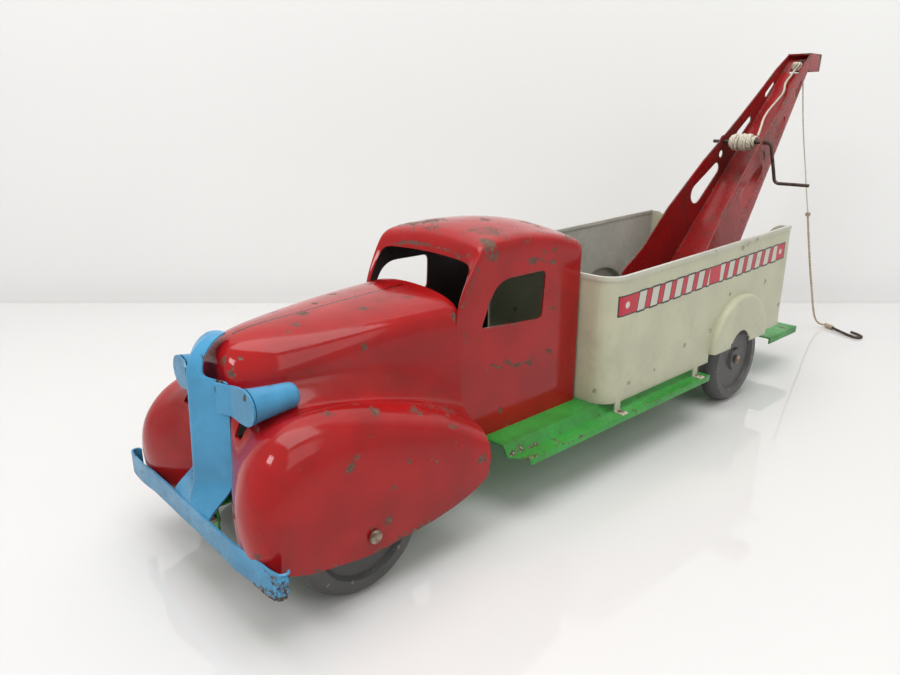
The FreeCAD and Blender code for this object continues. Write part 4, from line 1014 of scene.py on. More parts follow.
        spread = 1 + 0.07 * np.clip((whole[..., 2] - 96) / 18, 0, 1) * (whole[..., 0] < 0)
        whole[..., 0] *= spread
        points = spline_sheet(whole, 100, count)
        made = new_object("cab_shell", placed(points), grid_faces(100, count))
        self.face_outwards(made, np.array([0.0, 105.0, 75.0]))
        return made

    def rounded_outline(self, corners: list[tuple[float, float]], rounds: tuple[float, ...]) -> np.ndarray:
        """A closed outline with rounded corners, each a quadratic curve between its two tangent points."""
        points = np.array(corners, float)
        before, after = np.roll(points, 1, axis=0) - points, np.roll(points, -1, axis=0) - points
        reach = np.array(rounds)[:, None]
        start = points + before / np.linalg.norm(before, axis=1, keepdims=True) * reach
        end = points + after / np.linalg.norm(after, axis=1, keepdims=True) * reach
        t = np.linspace(0, 1, 9)[None, :, None]
        curve = (1 - t) ** 2 * start[:, None] + 2 * t * (1 - t) * points[:, None] + t ** 2 * end[:, None]
        return curve.reshape(-1, 2)

    def cut_windows(self, shell: bpy.types.Object) -> None:
        """Cuts each side window with a bar that has that window's rounded outline."""
        for corners, ends_x in ((self.window, (15.0, 60.0)), (self.far_window, (-60.0, -15.0))):
            outline = self.rounded_outline(corners, self.window_rounds)
            count = len(outline)
            ends = [np.column_stack([np.full(count, x), outline]) for x in ends_x]
            faces = grid_faces(2, count, wrap=True).tolist() + [list(range(count))[::-1],
                                                                list(range(count, 2 * count))]
            bar = new_object("window_bar", placed(np.concatenate(ends)), faces)
            tidy_normals(bar)
            cut = shell.modifiers.new("windows", "BOOLEAN")
            cut.operation, cut.object, cut.solver = "DIFFERENCE", bar, "EXACT"
            bake_modifiers(shell)
            bpy.data.objects.remove(bar)

    def wear(self, made: bpy.types.Object, rims: list[list[Point]]) -> None:
        """Writes where paint is knocked off: rims, scratches, and spots on the crowns; and where the grime
        attribute darkens it: towards the bottom, and along the hood-apron crease with dirt and painted shade.
        """
        points = truck_mm(vertices_of(made))
        edge = np.zeros(len(points))
        for rim in rims:
            edge = np.maximum(edge, line_wear(points, rim, 1.2))
        crown = [(45.0, -44.0, 56.0), (44.0, -40.0, 72.0), (43.0, -24.0, 82.0), (43.0, 5.0, 78.5),
                 (43.0, 25.0, 72.0),
                 (43.0, 43.0, 64.0), (44.0, 58.0, 52.0)]
        shoulder = [(55.0, -38.0, 56.0), (55.5, -22.0, 70.0), (56.0, 0.0, 67.0), (56.0, 25.0, 60.0),
                    (56.5, 50.0, 48.0)]
        spot = np.maximum(0.52 * line_wear(points, crown, 4.5), 0.42 * line_wear(points, shoulder, 3.5))
        squiggle = [(33.0, 84.0, 69.0), (33.0, 90.0, 66.0), (33.0, 96.0, 67.5), (33.0, 101.0, 63.5),
                    (33.0, 108.0, 65.0),
                    (33.0, 112.0, 62.0), (33.0, 113.0, 67.0)]
        spot = np.maximum(spot, 0.95 * line_wear(points, squiggle, 1.0))
        scratch = [(52.0, -43.0, 44.0), (54.0, -41.5, 52.0), (54.0, -39.5, 60.0), (53.0, -36.0, 68.0)]
        spot = np.maximum(spot, 0.6 * line_wear(points, scratch, 1.0))
        patch = [(32.5, 96.0, 114.5), (32.8, 106.0, 113.5), (32.9, 116.0, 112.0), (32.9, 126.0, 110.0)]
        spot = np.maximum(spot, 0.62 * line_wear(points, patch, 2.6))
        # Bare-metal streak down the near pillar, also standing in for the pillar's highlight: worn paint and a
        # painted highlight.
        pillar_wear_and_highlight = [(32.0, 67.5, 99.0), (32.4, 70.5, 105.0), (32.6, 73.5, 110.0), (32.4, 76.5, 115.0)]
        spot = np.maximum(spot, 0.82 * line_wear(points, pillar_wear_and_highlight, 1.5))
        roof_edge = [(31.0, 82.0, 118.0), (31.5, 95.0, 121.5), (31.5, 112.0, 122.0), (31.5, 130.0, 121.0),
                     (31.5, 147.0, 118.0)]
        spot = np.maximum(spot, 0.42 * line_wear(points, roof_edge, 2.6))
        front_edge = [(-24.0, 80.0, 122.0), (0.0, 80.5, 124.5), (24.0, 80.0, 122.0)]
        spot = np.maximum(spot, 0.40 * line_wear(points, front_edge, 2.4))
        spots = [(18, 92, 124, 7, .62), (8, 104, 129, 6, .5), (-14, 92, 127, 9, .72), (-20, 86, 125, 7, .7),
                 (14, 128, 125, 6, .6), (2, 136, 125, 6, .6), (24, 96, 123, 6, .66), (26, 124, 121, 5, .6),
                 (28, 142, 117, 5, .62), (20, 110, 126, 4, .55), (31, 86, 119, 4, .7), (-4, 84, 127, 4, .6),
                 (30, 84, 122, 3.4, .85), (8, 40, 103, 3, .6), (14, 30, 101, 2.2, .7), (3, 8, 101, 2.6, .62),
                 (16, 52, 101, 2.6, .62), (-6, 20, 102, 2.6, .6), (10, 0, 99, 2.2,
                                                                   .65), (30.5, 64, 94, 2.0, 1.0),
                 (33, 70, 82, 1.8, .7), (33, 128, 88, 1.8, .66), (33, 126, 66, 2.0,
                                                                  .6), (57, 10, 45, 1.6, .7),
                 (57, -8, 58, 2.0, .75), (57, 30, 50, 1.6, .6), (56, 56, 40, 2.6,
                                                                 .72), (50, -44, 36, 2.4, .7),
                 (29, 40, 86, 1.8, .6), (27, 20, 90, 2.0, .66), (57, 8, 33, 2.6,
                                                                 .72), (36, -43, 46, 1.8, .55),
                 (56, 40, 32, 2.0, .6), (8, -30, 91, 1.8, .8), (47, 30, 68, 4.0, .62), (46, 10, 71, 3.4, .66),
                 (44, -10, 74, 3.4, .6), (50, 44, 58, 3.0, .66)]
        spots = [(x, y, z, 1.7 * r, s) for x, y, z, r, s in spots]
        spots += [(-x, y + 3, z, r, s) for x, y, z, r, s in spots if x > 8]
        spot = np.maximum(spot, spot_wear(points, spots))
        set_attribute(made, "edge", edge)
        set_attribute(made, "spot", spot)
        # Darker towards the bottom.
        low = np.clip((40.0 - points[:, 2]) / 20.0, 0, 1)
        # Along the hood-apron crease: dirt, with painted shade in the crease.
        seam = line_wear(points, [(33.0, 64.0, 50.0), (31.0, 40.0, 70.0), (29.0, 10.0, 80.0),
                                  (17.0, -26.0, 78.0)], 5.0)
        set_attribute(made, "grime", np.maximum(low * 0.6, seam * 0.9))

    def cut_lamp_slots(self, hood: bpy.types.Object) -> None:
        """Cuts the square slot under each lamp with a small block."""
        corners = np.array([(x, y, z) for x in (0.0, 1.0) for y in (0.0, 1.0) for z in (0.0, 1.0)])
        faces = [(0, 1, 3, 2), (4, 6, 7, 5), (0, 4, 5, 1), (2, 3, 7, 6), (0, 2, 6, 4), (1, 5, 7, 3)]
        for first_x in (self.slot_x[0], -self.slot_x[1]):
            low = np.array([first_x, -42.0, self.slot_z[0]])
            size = np.array([self.slot_x[1] - self.slot_x[0], 18.0, self.slot_z[1] - self.slot_z[0]])
            block = new_object("lamp_slot_block", placed(low + corners * size), faces)
            tidy_normals(block)
            cut = hood.modifiers.new("slot", "BOOLEAN")
            cut.operation, cut.object, cut.solver = "DIFFERENCE", block, "EXACT"
            bake_modifiers(hood)
            bpy.data.objects.remove(block)

    def build(self, finishes: Finishes) -> None:
        """Makes and dresses the pressed body."""
        hood = self.front_sheet()
        thicken(hood, self.wall, 1)
        dress(hood, Slot.RED, ROOT, finishes.red, finishes.shaded_red_inside)
        bake_modifiers(hood)
        self.cut_lamp_slots(hood)
        skirt = [tuple(p) for p in spline_sheet(self.mirrored(self.front_net), 60, 9)[:, -1]]
        self.wear(hood, [skirt, [(-x, y, z) for x, y, z in skirt]])
        shell = self.cab_sheet()
        thicken(shell, self.wall, 1)
        dress(shell, Slot.RED, ROOT, finishes.red, finishes.shaded_red_inside)
        bake_modifiers(shell)
        tidy_normals(shell)
        self.cut_windows(shell)
        outline = self.rounded_outline(self.window, self.window_rounds)
        side = [(self.half, y, z) for y, z in np.vstack([outline, outline[:1]])]
        pillar = [(29.6, 64.0, 98.0), (29.6, 70.0, 107.0), (27.0, 75.0, 116.5), (15.0, 76.6, 119.0),
                  (0.0, 77.0, 119.6)]
        rear = [(self.half, self.rear_y, 36.0), (self.half, self.rear_y, 112.0), (28.0, self.rear_y, 118.0),
                (0.0, self.rear_y, 122.6)]
        rims = [side, pillar, rear]
        self.wear(shell, rims + [[(-x, y, z) for x, y, z in rim] for rim in rims])
        for made in (hood, shell):
            made.data.set_sharp_from_angle(angle=math.radians(50))
        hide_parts("cab_body")
        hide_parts("cab_body")


# ---------------------------------------------------------------- grille and bumper


@dataclass
class GrilleAndBumper:
    """The blue grille with its lamps and the knocked-about bumper, cut from one sheet.

    A panel row holds where its crease is along the truck, its height, its half width and how
    far its two edges lie behind the crease.
    """

    wall: float = 0.8
    panel: tuple[tuple[float, float, float, float], ...] = (
        (-44.8, 25.2, 15.6, 0.0), (-45.4, 28.6, 15.6, 0.0), (-45.4, 33.4, 15.6,
                                                             0.2), (-44.4, 36.8, 15.4, 2.4),
        (-43.0, 40.8, 15.3, 6.6), (-42.2, 43.6, 15.3, 8.3), (-42.0, 47.0, 15.2,
                                                             8.5), (-41.4, 60.0, 15.2, 8.6),
        (-40.8, 74.0, 15.2, 8.6), (-40.5, 81.0, 15.2, 8.5), (-40.4, 84.4, 15.2,
                                                             8.4), (-40.4, 85.6, 14.8, 8.2),
        (-40.3, 86.0, 7.0, 4.0), (-40.2, 87.2, 5.4, 3.3), (-39.4, 90.4, 5.2, 3.0), (-37.4, 94.2, 5.0, 2.6),
        (-34.0, 97.2, 4.8, 1.8), (-30.4, 98.9, 4.4, 1.0), (-27.4, 99.5, 3.2, 0.5), (-25.0, 99.1, 1.4, 0.2),
        (-24.2, 98.8, 0.3, 0.0))
    band_half: float = 64.6
    band_low: float = 21.8
    band_high: float = 31.4
    band_y: float = -45.2
    curl: float = 1.9
    lamp_x: float = 28.6
    lamp_z: float = 79.7
    far_lamp_x: float = 25.6
    far_lamp_z: float = 78.6
    lamp_front_y: float = -31.6
    lamp_rear_y: float = -12.0
    lamp_front_r: float = 6.3
    lamp_rear_r: float = 4.3

    def sheet(self, name: str, points: np.ndarray, closed: bool = False) -> bpy.types.Object:
        """One blue sheet with its wall from a grid of points, replacing the frame's stamping."""
        rows, columns = points.shape[:2]
        made = new_object(name, placed(points), grid_faces(rows, columns, wrap=closed))
        wall = made.modifiers.new("wall", "SOLIDIFY")
        wall.thickness, wall.offset, wall.use_even_offset = self.wall * MM, 0.0, False
        bake_modifiers(made)
        tidy_normals(made, 1e-7)
        made.data.set_sharp_from_angle(angle=math.radians(48))
        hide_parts("grille_bumper")
        return made

    def panel_points(self) -> np.ndarray:
        """The V-shaped panel: each row goes back from its crease with the size of x."""
        across = np.array([-1.0, -0.93, -0.6, -0.3, -0.09, 0.0, 0.09, 0.3, 0.6, 0.93, 1.0])
        rows = np.array(self.panel)
        x = rows[:, 2:3] * across
        y = rows[:, 0:1] + rows[:, 3:4] * np.abs(across)
        z = rows[:, 1:2] + np.zeros_like(x)
        fine = spline_sheet(np.stack([x, y, z], axis=-1), 150, 71)
        return fine

    def band_points(self) -> np.ndarray:
        """The bumper: a straight strip whose two ends curl back through half a turn."""
        straight = np.linspace(-1, 1, 150)
        turn = np.linspace(0, np.pi, 12)[1:]
        half = self.band_half - self.curl
        x = np.concatenate([-half - self.curl * np.sin(turn[::-1]), half * straight,
                            half + self.curl * np.sin(turn)])
        y = self.band_y + np.concatenate([self.curl * (1 - np.cos(turn[::-1])), np.zeros(150),
                                          self.curl * (1 - np.cos(turn))])
        z = np.linspace(self.band_low, self.band_high, 9)
        grid = np.stack([np.tile(x, (9, 1)), np.tile(y, (9, 1)), np.tile(z[:, None], (1, len(x)))], axis=-1)
        self.batter(grid)
        return grid

    def batter(self, grid: np.ndarray) -> None:
        """Bends both ends of the bumper and waves its band, moving the points in place.

        The near end goes back and twists with the square of its share past the bend; the far
        end lifts.
        """
        x, z = grid[..., 0].copy(), grid[..., 2]
        middle = (self.band_low + self.band_high) / 2
        past = np.clip((x - 24) / 40, 0, 1.05)
        wave = ripple(np.stack([x, 0 * x, z * 0.6], axis=-1).reshape(-1, 3), 6.0, 1.3).reshape(x.shape)
        grid[..., 1] += 3.0 * past ** 2 + 0.14 * (z - middle) * past + 0.8 * wave * past
        grid[..., 2] += 3.2 * np.clip((x + 60) / 25, 0, 1) + 0.9 * wave * past - 0.9 * past
        grid[..., 0] -= 2.2 * past ** 2 + 0.5 * past * np.sin(1.6 * z)
        far = np.clip((-x - 40) / 24, 0, 1)
        grid[..., 2] += 2.0 * far ** 2 + 0.25 * wave * (x < 24)
        grid[..., 1] += 0.9 * far ** 2

    def plate_points(self, side: float) -> np.ndarray:
        """A lamp's arm and round plate: a strip whose half height ends in half a circle.

        Half height is the plate's radius up to its centre and then the root of the squared
        radius less the squared distance past the centre.
        """
        centre_x, centre_z = self.lamp_centre(side)
        radius = self.lamp_front_r + 0.5
        x = np.concatenate([np.linspace(12.6, centre_x, 24),
                            centre_x + radius * np.sin(np.linspace(0, np.pi / 2, 16)[1:])])
        half = np.sqrt(np.maximum(radius ** 2 - np.maximum(x - centre_x, 0) ** 2, 0.003))
        half = half * np.interp(x, [12.6, 18.0, 25.0], [0.86, 0.84, 1.0])
        share = np.linspace(-1, 1, 15)[:, None]
        y = np.interp(x, [12.6, 20.0, 27.0, 35.0], [-35.6, -33.0, -32.7, -32.4])
        z = centre_z + share * half
        return np.stack([side * np.tile(x, (15, 1)), np.tile(y, (15, 1)), z], axis=-1)

    def lamp_centre(self, side: float) -> tuple[float, float]:
        """How far out and how high a lamp stands; the right one was pushed in."""
        return (self.lamp_x, self.lamp_z) if side > 0 else (self.far_lamp_x, self.far_lamp_z)

    def tube_points(self, side: float) -> np.ndarray:
        """A lamp's shell: circles that narrow towards the rear and close in a round end."""
        centre_x, centre_z = self.lamp_centre(side)
        s = np.linspace(0, 1, 40)[:, None]
        angle = np.linspace(0, 2 * np.pi, 48, endpoint=False)[None, :]
        round_end = np.sqrt(np.clip(1 - ((s - 0.86) / 0.14).clip(0, 1) ** 2, 0.0005, 1))
        radius = (self.lamp_front_r + (self.lamp_rear_r - self.lamp_front_r) * s ** 0.8) * round_end
        y = self.lamp_front_y + (self.lamp_rear_y - self.lamp_front_y) * s + 0 * angle
        return np.stack([side * centre_x + radius * np.sin(angle), y, centre_z + radius * np.cos(angle)],
                        axis=-1)

    def wear(self, made: bpy.types.Object, edges: np.ndarray) -> None:
        """Writes chips along a sheet's own border, its crease, its lamps and its battered end."""
        points = truck_mm(vertices_of(made))
        near = distance_to_lines(points, edges[:-1], edges[1:])
        set_attribute(made, "edge", np.exp(-((near / 0.9) ** 2)))
        band = (points[:, 2] < 33).astype(float)
        near_end = np.clip((points[:, 0] - 40) / 20, 0, 1) * band
        spots = [(26, -33, 78, 3.2, .62), (30, -33, 84, 2.4, .6), (28, -22, 86, 3.0, .6),
                 (6, -38, 40, 3.2, .6),
                 (-6, -39, 62, 3.0, .45), (3, -36, 94, 2.6, .6), (10, -36, 33, 3.6,
                                                                  .66), (12, -34, 84, 2.6, .55),
                 (-50, -45, 30, 3.0, .6), (-30, -45, 27, 2.6, .55), (2, -45, 30, 3.0,
                                                                     .6), (8, -37, 50, 2.0, .6)]
        spot = np.maximum(spot_wear(points, spots), 0.12 * band + 0.5 * near_end)
        set_attribute(made, "spot", spot)
        # Darker towards the bottom.
        set_attribute(made, "grime", np.clip((44 - points[:, 2]) / 34, 0, 1) * 0.7)

    def border(self, grid: np.ndarray) -> np.ndarray:
        """The points round a grid's border, closed."""
        return np.concatenate([grid[0], grid[:, -1], grid[-1, ::-1], grid[::-1, 0]])

    def build(self, finishes: Finishes) -> None:
        """Makes the panel, the bumper and both lamps."""
        sheets = {"grille_panel": (self.panel_points(), False), "bumper_band": (self.band_points(), False)}
        for label, side in (("left", 1.0), ("right", -1.0)):
            sheets[f"{label}_lamp_plate"] = (self.plate_points(side), False)
            sheets[f"{label}_lamp_shell"] = (self.tube_points(side), True)
        for name, (grid, closed) in sheets.items():
            made = self.sheet(name, grid, closed)
            self.wear(made, grid[0] if closed else self.border(grid))
            dress(made, Slot.BLUE, ROOT, finishes.blue)


# ---------------------------------------------------------------- chassis, bed and boom


@dataclass
class Chassis:
    """The green deck with its running boards and rear step."""

    soften: float = 0.3
    cell: float = 3.0

    def build(self, finishes: Finishes) -> None:
        """Copies the stamping and dresses it."""
        made = pressed_copy("chassis", "deck_and_boards", self.soften, self.cell)
        points = truck_mm(vertices_of(made))
        points[:, 0] *= np.where(points[:, 1] < -27, 0.84, 1.0)
        move_vertices(made, placed(points))
        top = (points[:, 2] > 28.5) & (np.abs(points[:, 0]) > 48)
        spots = [(52, 92, 29.3, 7, .5), (53, 110, 29.3, 5, .5), (55, 170, 29.3, 5, .45),
                 (53, 240, 29.3, 6, .6),
                 (40, 380, 27.5, 7, .55), (-20, 370, 27.5, 8, .5), (10, 388, 27.5, 6,
                                                                    .6), (-53, 130, 29.3, 7, .5)]
        set_attribute(made, "spot", np.maximum(0.2 * top, spot_wear(points, spots)))
        # Darker in a band along the running boards' inner step, under the bed's lower edge.
        set_attribute(made, "grime", np.clip(0.5 - 0.02 * (np.abs(points[:, 0]) - 46) ** 2, 0, 1))
        dress(made, Slot.GREEN, ROOT, finishes.green)


@dataclass
class PrintedTruckBed:
    """The open-backed cream bed with its printed sides."""

    soften: float = 0.3
    cell: float = 3.0
    half: float = 52.0
    front_y: float = 149.2
    rear_y: float = 342.0
    top_front: float = 101.0
    top_rear: float = 106.8

    def build(self, finishes: Finishes) -> None:
        """Copies the stamping, lets its long sides sway and dresses it."""
        made = pressed_copy("truck_bed", "printed_bed", self.soften, self.cell)
        points = truck_mm(vertices_of(made))
        x, y, z = points.T
        top = self.top_front + (self.top_rear - self.top_front) * (y - self.front_y) / (self.rear_y - self.front_y)
        drop = top - z
        set_attribute(made, "along", y - self.front_y)
        set_attribute(made, "drop", drop)
        normals = np.empty(len(points) * 3)
        made.data.vertices.foreach_get("normal", normals)
        normals = normals.reshape(-1, 3)
        side = np.abs(x) > self.half - 8
        outward = np.where(side, normals[:, 0] * np.sign(x), -normals[:, 1])
        set_attribute(made, "inner", (outward < 0).astype(float))
        set_attribute(made, "rim", np.clip(1.3 - np.abs(drop - 0.6) / 1.6, 0, 1))
        low = np.clip((44 - z) / 12, 0, 1) * (z > 34)
        spots = [(52, 263.7, 40.3, 3.0, .9), (52, 200, 60, 2.0, .5), (52, 176, 44, 2.4, .55),
                 (52, 300, 92, 2.0, .5),
                 (52, 330, 60, 2.6, .6), (52, 152, 70, 2.4, .6), (52, 152, 95, 3.0,
                                                                  .6), (-52, 210, 70, 2.4, .5)]
        set_attribute(made, "spot", np.maximum(0.16 * np.clip(1.2 - drop / 2.4, 0, 1),
                                               spot_wear(points, spots)))
        # Darker towards the bottom of the walls and on their inner faces.
        set_attribute(made, "grime", np.maximum(0.5 * low, 0.4 * (outward < 0)))
        sway = 0.55 * np.sin(np.pi * np.clip((y - self.front_y) / (self.rear_y - self.front_y), 0, 1))
        sway *= np.clip((z - 55) / 50, 0, 1) * side
        points[:, 0] += np.sign(x) * (sway + 0.16 * ripple(points * np.array([0, 1, 1]), 16.0,
                                                           0.7) * side * (z > 45))
        move_vertices(made, placed(points))
        dress(made, Slot.CREAM, ROOT, finishes.bed)


@dataclass
class SlottedBoom:
    """The red lifting boom."""

    soften: float = 0.3
    cell: float = 3.0

    def build(self, finishes: Finishes) -> None:
        """Copies the channel and dresses it, dirtiest round the crank."""
        made = pressed_copy("boom", "slotted_boom", self.soften, self.cell)
        points = truck_mm(vertices_of(made))
        near_crank = spot_wear(points, [(0, 368.5, 156.5, 22, 1.0), (0, 350, 130, 14, .5)])
        spots = [(8, 462, 212, 7, .75), (14, 440, 215, 5, .6), (20, 330, 90, 4, .6), (22, 310, 70, 4, .55),
                 (16, 400, 180, 4, .6), (17, 368, 150, 6, .6), (24, 260, 50, 5, .6), (-14, 420, 200, 4, .6)]
        set_attribute(made, "spot", spot_wear(points, spots))
        set_attribute(made, "grime", near_crank)
        dress(made, Slot.RED, ROOT, finishes.boom_red)


# ---------------------------------------------------------------- string


def route_of(name: str, points: list[Point]) -> np.ndarray:
    """A smooth line near the route's points, as a NURBS spline gives it.

    Args:
        name: What the line is called while it is worked out.
        points: The route's control points, in millimetres from the front axle.

    Returns:
        Points along the spline in metres, in the row frame.
    """
    data = bpy.data.curves.new(name, "CURVE")
    data.dimensions = "3D"
    spline = data.splines.new("NURBS")
    spline.points.add(len(points) - 1)
    at = placed(np.array(points, float))
    spline.points.foreach_set("co", np.column_stack([at, np.ones(len(at))]).ravel())
    spline.order_u = 3
    spline.use_endpoint_u = True
    spline.resolution_u = 14
    holder = bpy.data.objects.new(name, data)
    bpy.context.scene.collection.objects.link(holder)
    bpy.context.view_layer.update()
    line = bpy.data.meshes.new_from_object(holder.evaluated_get(bpy.context.evaluated_depsgraph_get()))
    flat = np.empty(len(line.vertices) * 3)
    line.vertices.foreach_get("co", flat)
    bpy.data.objects.remove(holder)
    bpy.data.meshes.remove(line)
    return flat.reshape(-1, 3)


def evenly(line: np.ndarray, step: float) -> np.ndarray:
    """A line's points set again at even steps along it, in the line's own unit."""
    gaps = np.linalg.norm(np.diff(line, axis=0), axis=1)
    keep = np.concatenate([[True], gaps > 1e-9])
    line = line[keep]
    reach = np.concatenate([[0], np.cumsum(np.linalg.norm(np.diff(line, axis=0), axis=1))])
    at = np.linspace(0, reach[-1], max(4, int(reach[-1] / step) + 1))
    return np.column_stack([np.interp(at, reach, line[:, i]) for i in range(3)])


def twisted_tube(name: str, line: np.ndarray, radius: float, pitch: float, strands: int = 2,
                 rough: float = 0.05) -> bpy.types.Object:
    """A string along a line: a lobed section that turns as it goes.

    At angle a and distance s, the section's radius is the string's, times 0.82 plus 0.18
    times the size of the cosine of half the strand count times (a plus the twist at s). The
    section's two axes are carried along the line by removing each new tangent's share.

    Args:
        name: The piece's name.
        line: Points along the centre, in metres.
        radius: Half of the string's thickness, in millimetres.
        pitch: Length of a full twist, in millimetres.
        strands: How many strands show.
        rough: How much the thickness wanders.

    Returns:
        The new object, closed at both ends, with a "groove" attribute.
    """
    line = evenly(line, 0.35 * radius * MM + 0.00012)
    around, count = 14, len(line)
    ahead = np.gradient(line, axis=0)
    ahead /= np.linalg.norm(ahead, axis=1, keepdims=True)
    side = np.empty_like(ahead)
    first = np.cross(ahead[0], [0.0, 0.0, 1.0] if abs(ahead[0][2]) < 0.9 else [1.0, 0.0, 0.0])
    side[0] = first / np.linalg.norm(first)
    for i in range(1, count):
        turned = side[i - 1] - ahead[i] * (side[i - 1] @ ahead[i])
        side[i] = turned / np.linalg.norm(turned)
    up = np.cross(ahead, side)
    far = np.concatenate([[0], np.cumsum(np.linalg.norm(np.diff(line, axis=0), axis=1))]) / MM
    angle = np.linspace(0, 2 * np.pi, around, endpoint=False)[None, :]
    lobes = np.abs(np.cos(strands / 2 * (angle + 2 * np.pi * far[:, None] / pitch)))
    wander = 1 + rough * np.sin(far * 1.9)[:, None] + rough * np.sin(far * 0.77 + 2)[:, None]
    size = radius * MM * (0.80 + 0.20 * lobes) * wander
    ends = np.clip(np.minimum(far, far[-1] - far) / max(radius * 0.6, 0.2), 0.25, 1)[:, None]
    size = size * np.sqrt(ends)
    points = line[:, None] + size[..., None] * (np.cos(angle)[..., None] * side[:, None]
                                                + np.sin(angle)[..., None] * up[:, None])
    faces = grid_faces(count, around, wrap=True).tolist()
    faces += [list(range(around))[::-1], list(range((count - 1) * around, count * around))]
    made = new_object(name, points, faces)
    tidy_normals(made, 1e-8)
    if len(made.data.vertices) == count * around:
        set_attribute(made, "groove", np.clip(1.15 - lobes * 2.2, 0, 1).ravel())
    return made


@dataclass
class TowLine:
    """The string from the winding up the boom, down from its tip and along to the hook."""

    boom_radius: float = 0.8
    hanging_radius: float = 0.5
    hook_radius: float = 0.85
    boom_route: list[Point] = field(default_factory=lambda: [
        (8.0, 372.8, 160.8), (5.8, 380.6, 166.2), (2.2, 389.8,
                                                   171.4), (0.3, 400.4, 177.4), (0.2, 411.6, 183.6),
        (1.9, 419.2, 190.4), (-1.4, 425.2, 196.6), (0.4, 430.6, 202.2), (0.9, 434.4, 206.2)])
    hanging_route: list[Point] = field(default_factory=lambda: [
        (1.8, 438.4, 208.0), (3.0, 441.6, 205.4), (3.6, 443.6,
                                                   200.2), (4.1, 445.0, 192.0), (4.6, 447.4, 182.0),
        (5.4, 450.5, 168.0), (7.0, 454.5, 151.0), (8.4, 459.6,
                                                   134.0), (10.2, 463.2, 116.4), (12.1, 467.6, 99.4)])
    hook_route: list[Point] = field(default_factory=lambda: [
        (12.3, 468.0, 96.6), (14.0, 470.2, 82.0), (16.4, 471.9,
                                                   66.0), (18.2, 475.2, 50.0), (20.6, 478.2, 34.0),
        (21.9, 482.4, 19.5), (23.0, 487.2, 9.4), (24.6, 493.4, 4.0), (26.2, 500.0, 2.2)])
    tip_knot_at: Point = (1.0, 436.4, 208.6)
    line_knot_at: Point = (12.2, 467.8, 98.0)

    def string(self, name: str, node: str, route: list[Point], radius: float, pitch: float,
               finish: bpy.types.Material) -> tuple[bpy.types.Object, np.ndarray]:
        """One length of string in place of its CAD tube, and the line that it follows."""
        line = evenly(route_of(name + "_line", route), 0.0004)
        made = twisted_tube(name, line, radius, pitch)
        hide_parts(node)
        dress(made, Slot.STRING, ROOT, finish)
        return made, line

    def knot(self, name: str, node: str, centre: Point, radius: float, strand: float, turns: tuple[int, int],
             finish: bpy.types.Material) -> bpy.types.Object:
        """A pulled knot: a string that winds round a small ring and round itself.

        With t over a full turn, the ring's angle is the first count times t and the string's
        distance from the ring swings with the second count times t.
        """
        t = np.linspace(0, 2 * np.pi, 220)
        around, through = turns
        wide = radius - strand
        out = wide * (0.62 + 0.38 * np.cos(through * t))
        line = np.column_stack([out * np.cos(around * t), out * np.sin(around * t) * 0.85,
                                0.75 * wide * np.sin(through * t)])
        made = twisted_tube(name, placed(line + np.array(centre)), strand, 4.0)
        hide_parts(node)
        dress(made, Slot.STRING, ROOT, finish)
        return made

    def hook_binding(self, finish: bpy.types.Material) -> bpy.types.Object:
        """String bound round the hook's shank: a helix from one end of its CAD solid to the other."""
        low, high = (np.array(corner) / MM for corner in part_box("hook_wrap"))
        low[1] -= axle_y()
        high[1] -= axle_y()
        middle_z = (low[2] + high[2]) / 2
        start = np.array([low[0] + 1.2, high[1] - 1.7, middle_z])
        end = np.array([high[0] - 1.2, low[1] + 1.7, middle_z])
        run = end - start
        ahead = run / np.linalg.norm(run)
        side = np.cross(ahead, [0.0, 0.0, 1.0])
        side /= np.linalg.norm(side)
        up = np.cross(side, ahead)
        t = np.linspace(0, 1, 420)
        turn = 2 * np.pi * 7.5 * t
        out = 1.42 + 0.12 * np.sin(5.3 * t * 7)
        line = start + run * t[:, None] + out[:,
                                              None] * (np.cos(turn)[:,
                                                                    None] * side + np.sin(turn)[:, None] * up)
        made = twisted_tube("hook_binding", placed(line), 0.55, 3.0)
        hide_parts("hook_wrap")
        dress(made, Slot.STRING, ROOT, finish)
        return made

    def build(self, finishes: Finishes) -> None:
        rope, rope_line = self.string("boom_string", "boom_line", self.boom_route, self.boom_radius, 5.5,
                                      finishes.pale_cotton)
        hanging, hanging_line = self.string("hanging_string", "hanging_line", self.hanging_route,
                                            self.hanging_radius, 4.0,
                                            finishes.pale_cotton)
        lower, lower_line = self.string("hook_string", "hook_line", self.hook_route, self.hook_radius, 5.0,
                                        finishes.tan_cotton)
        tip = self.knot("tip_tie", "tip_knot", self.tip_knot_at, 3.7, 0.8, (3, 7), finishes.pale_cotton)
        tie = self.knot("line_tie", "line_knot", self.line_knot_at, 2.1, 0.5, (2, 5), finishes.tan_cotton)
        binding = self.hook_binding(finishes.tan_cotton)


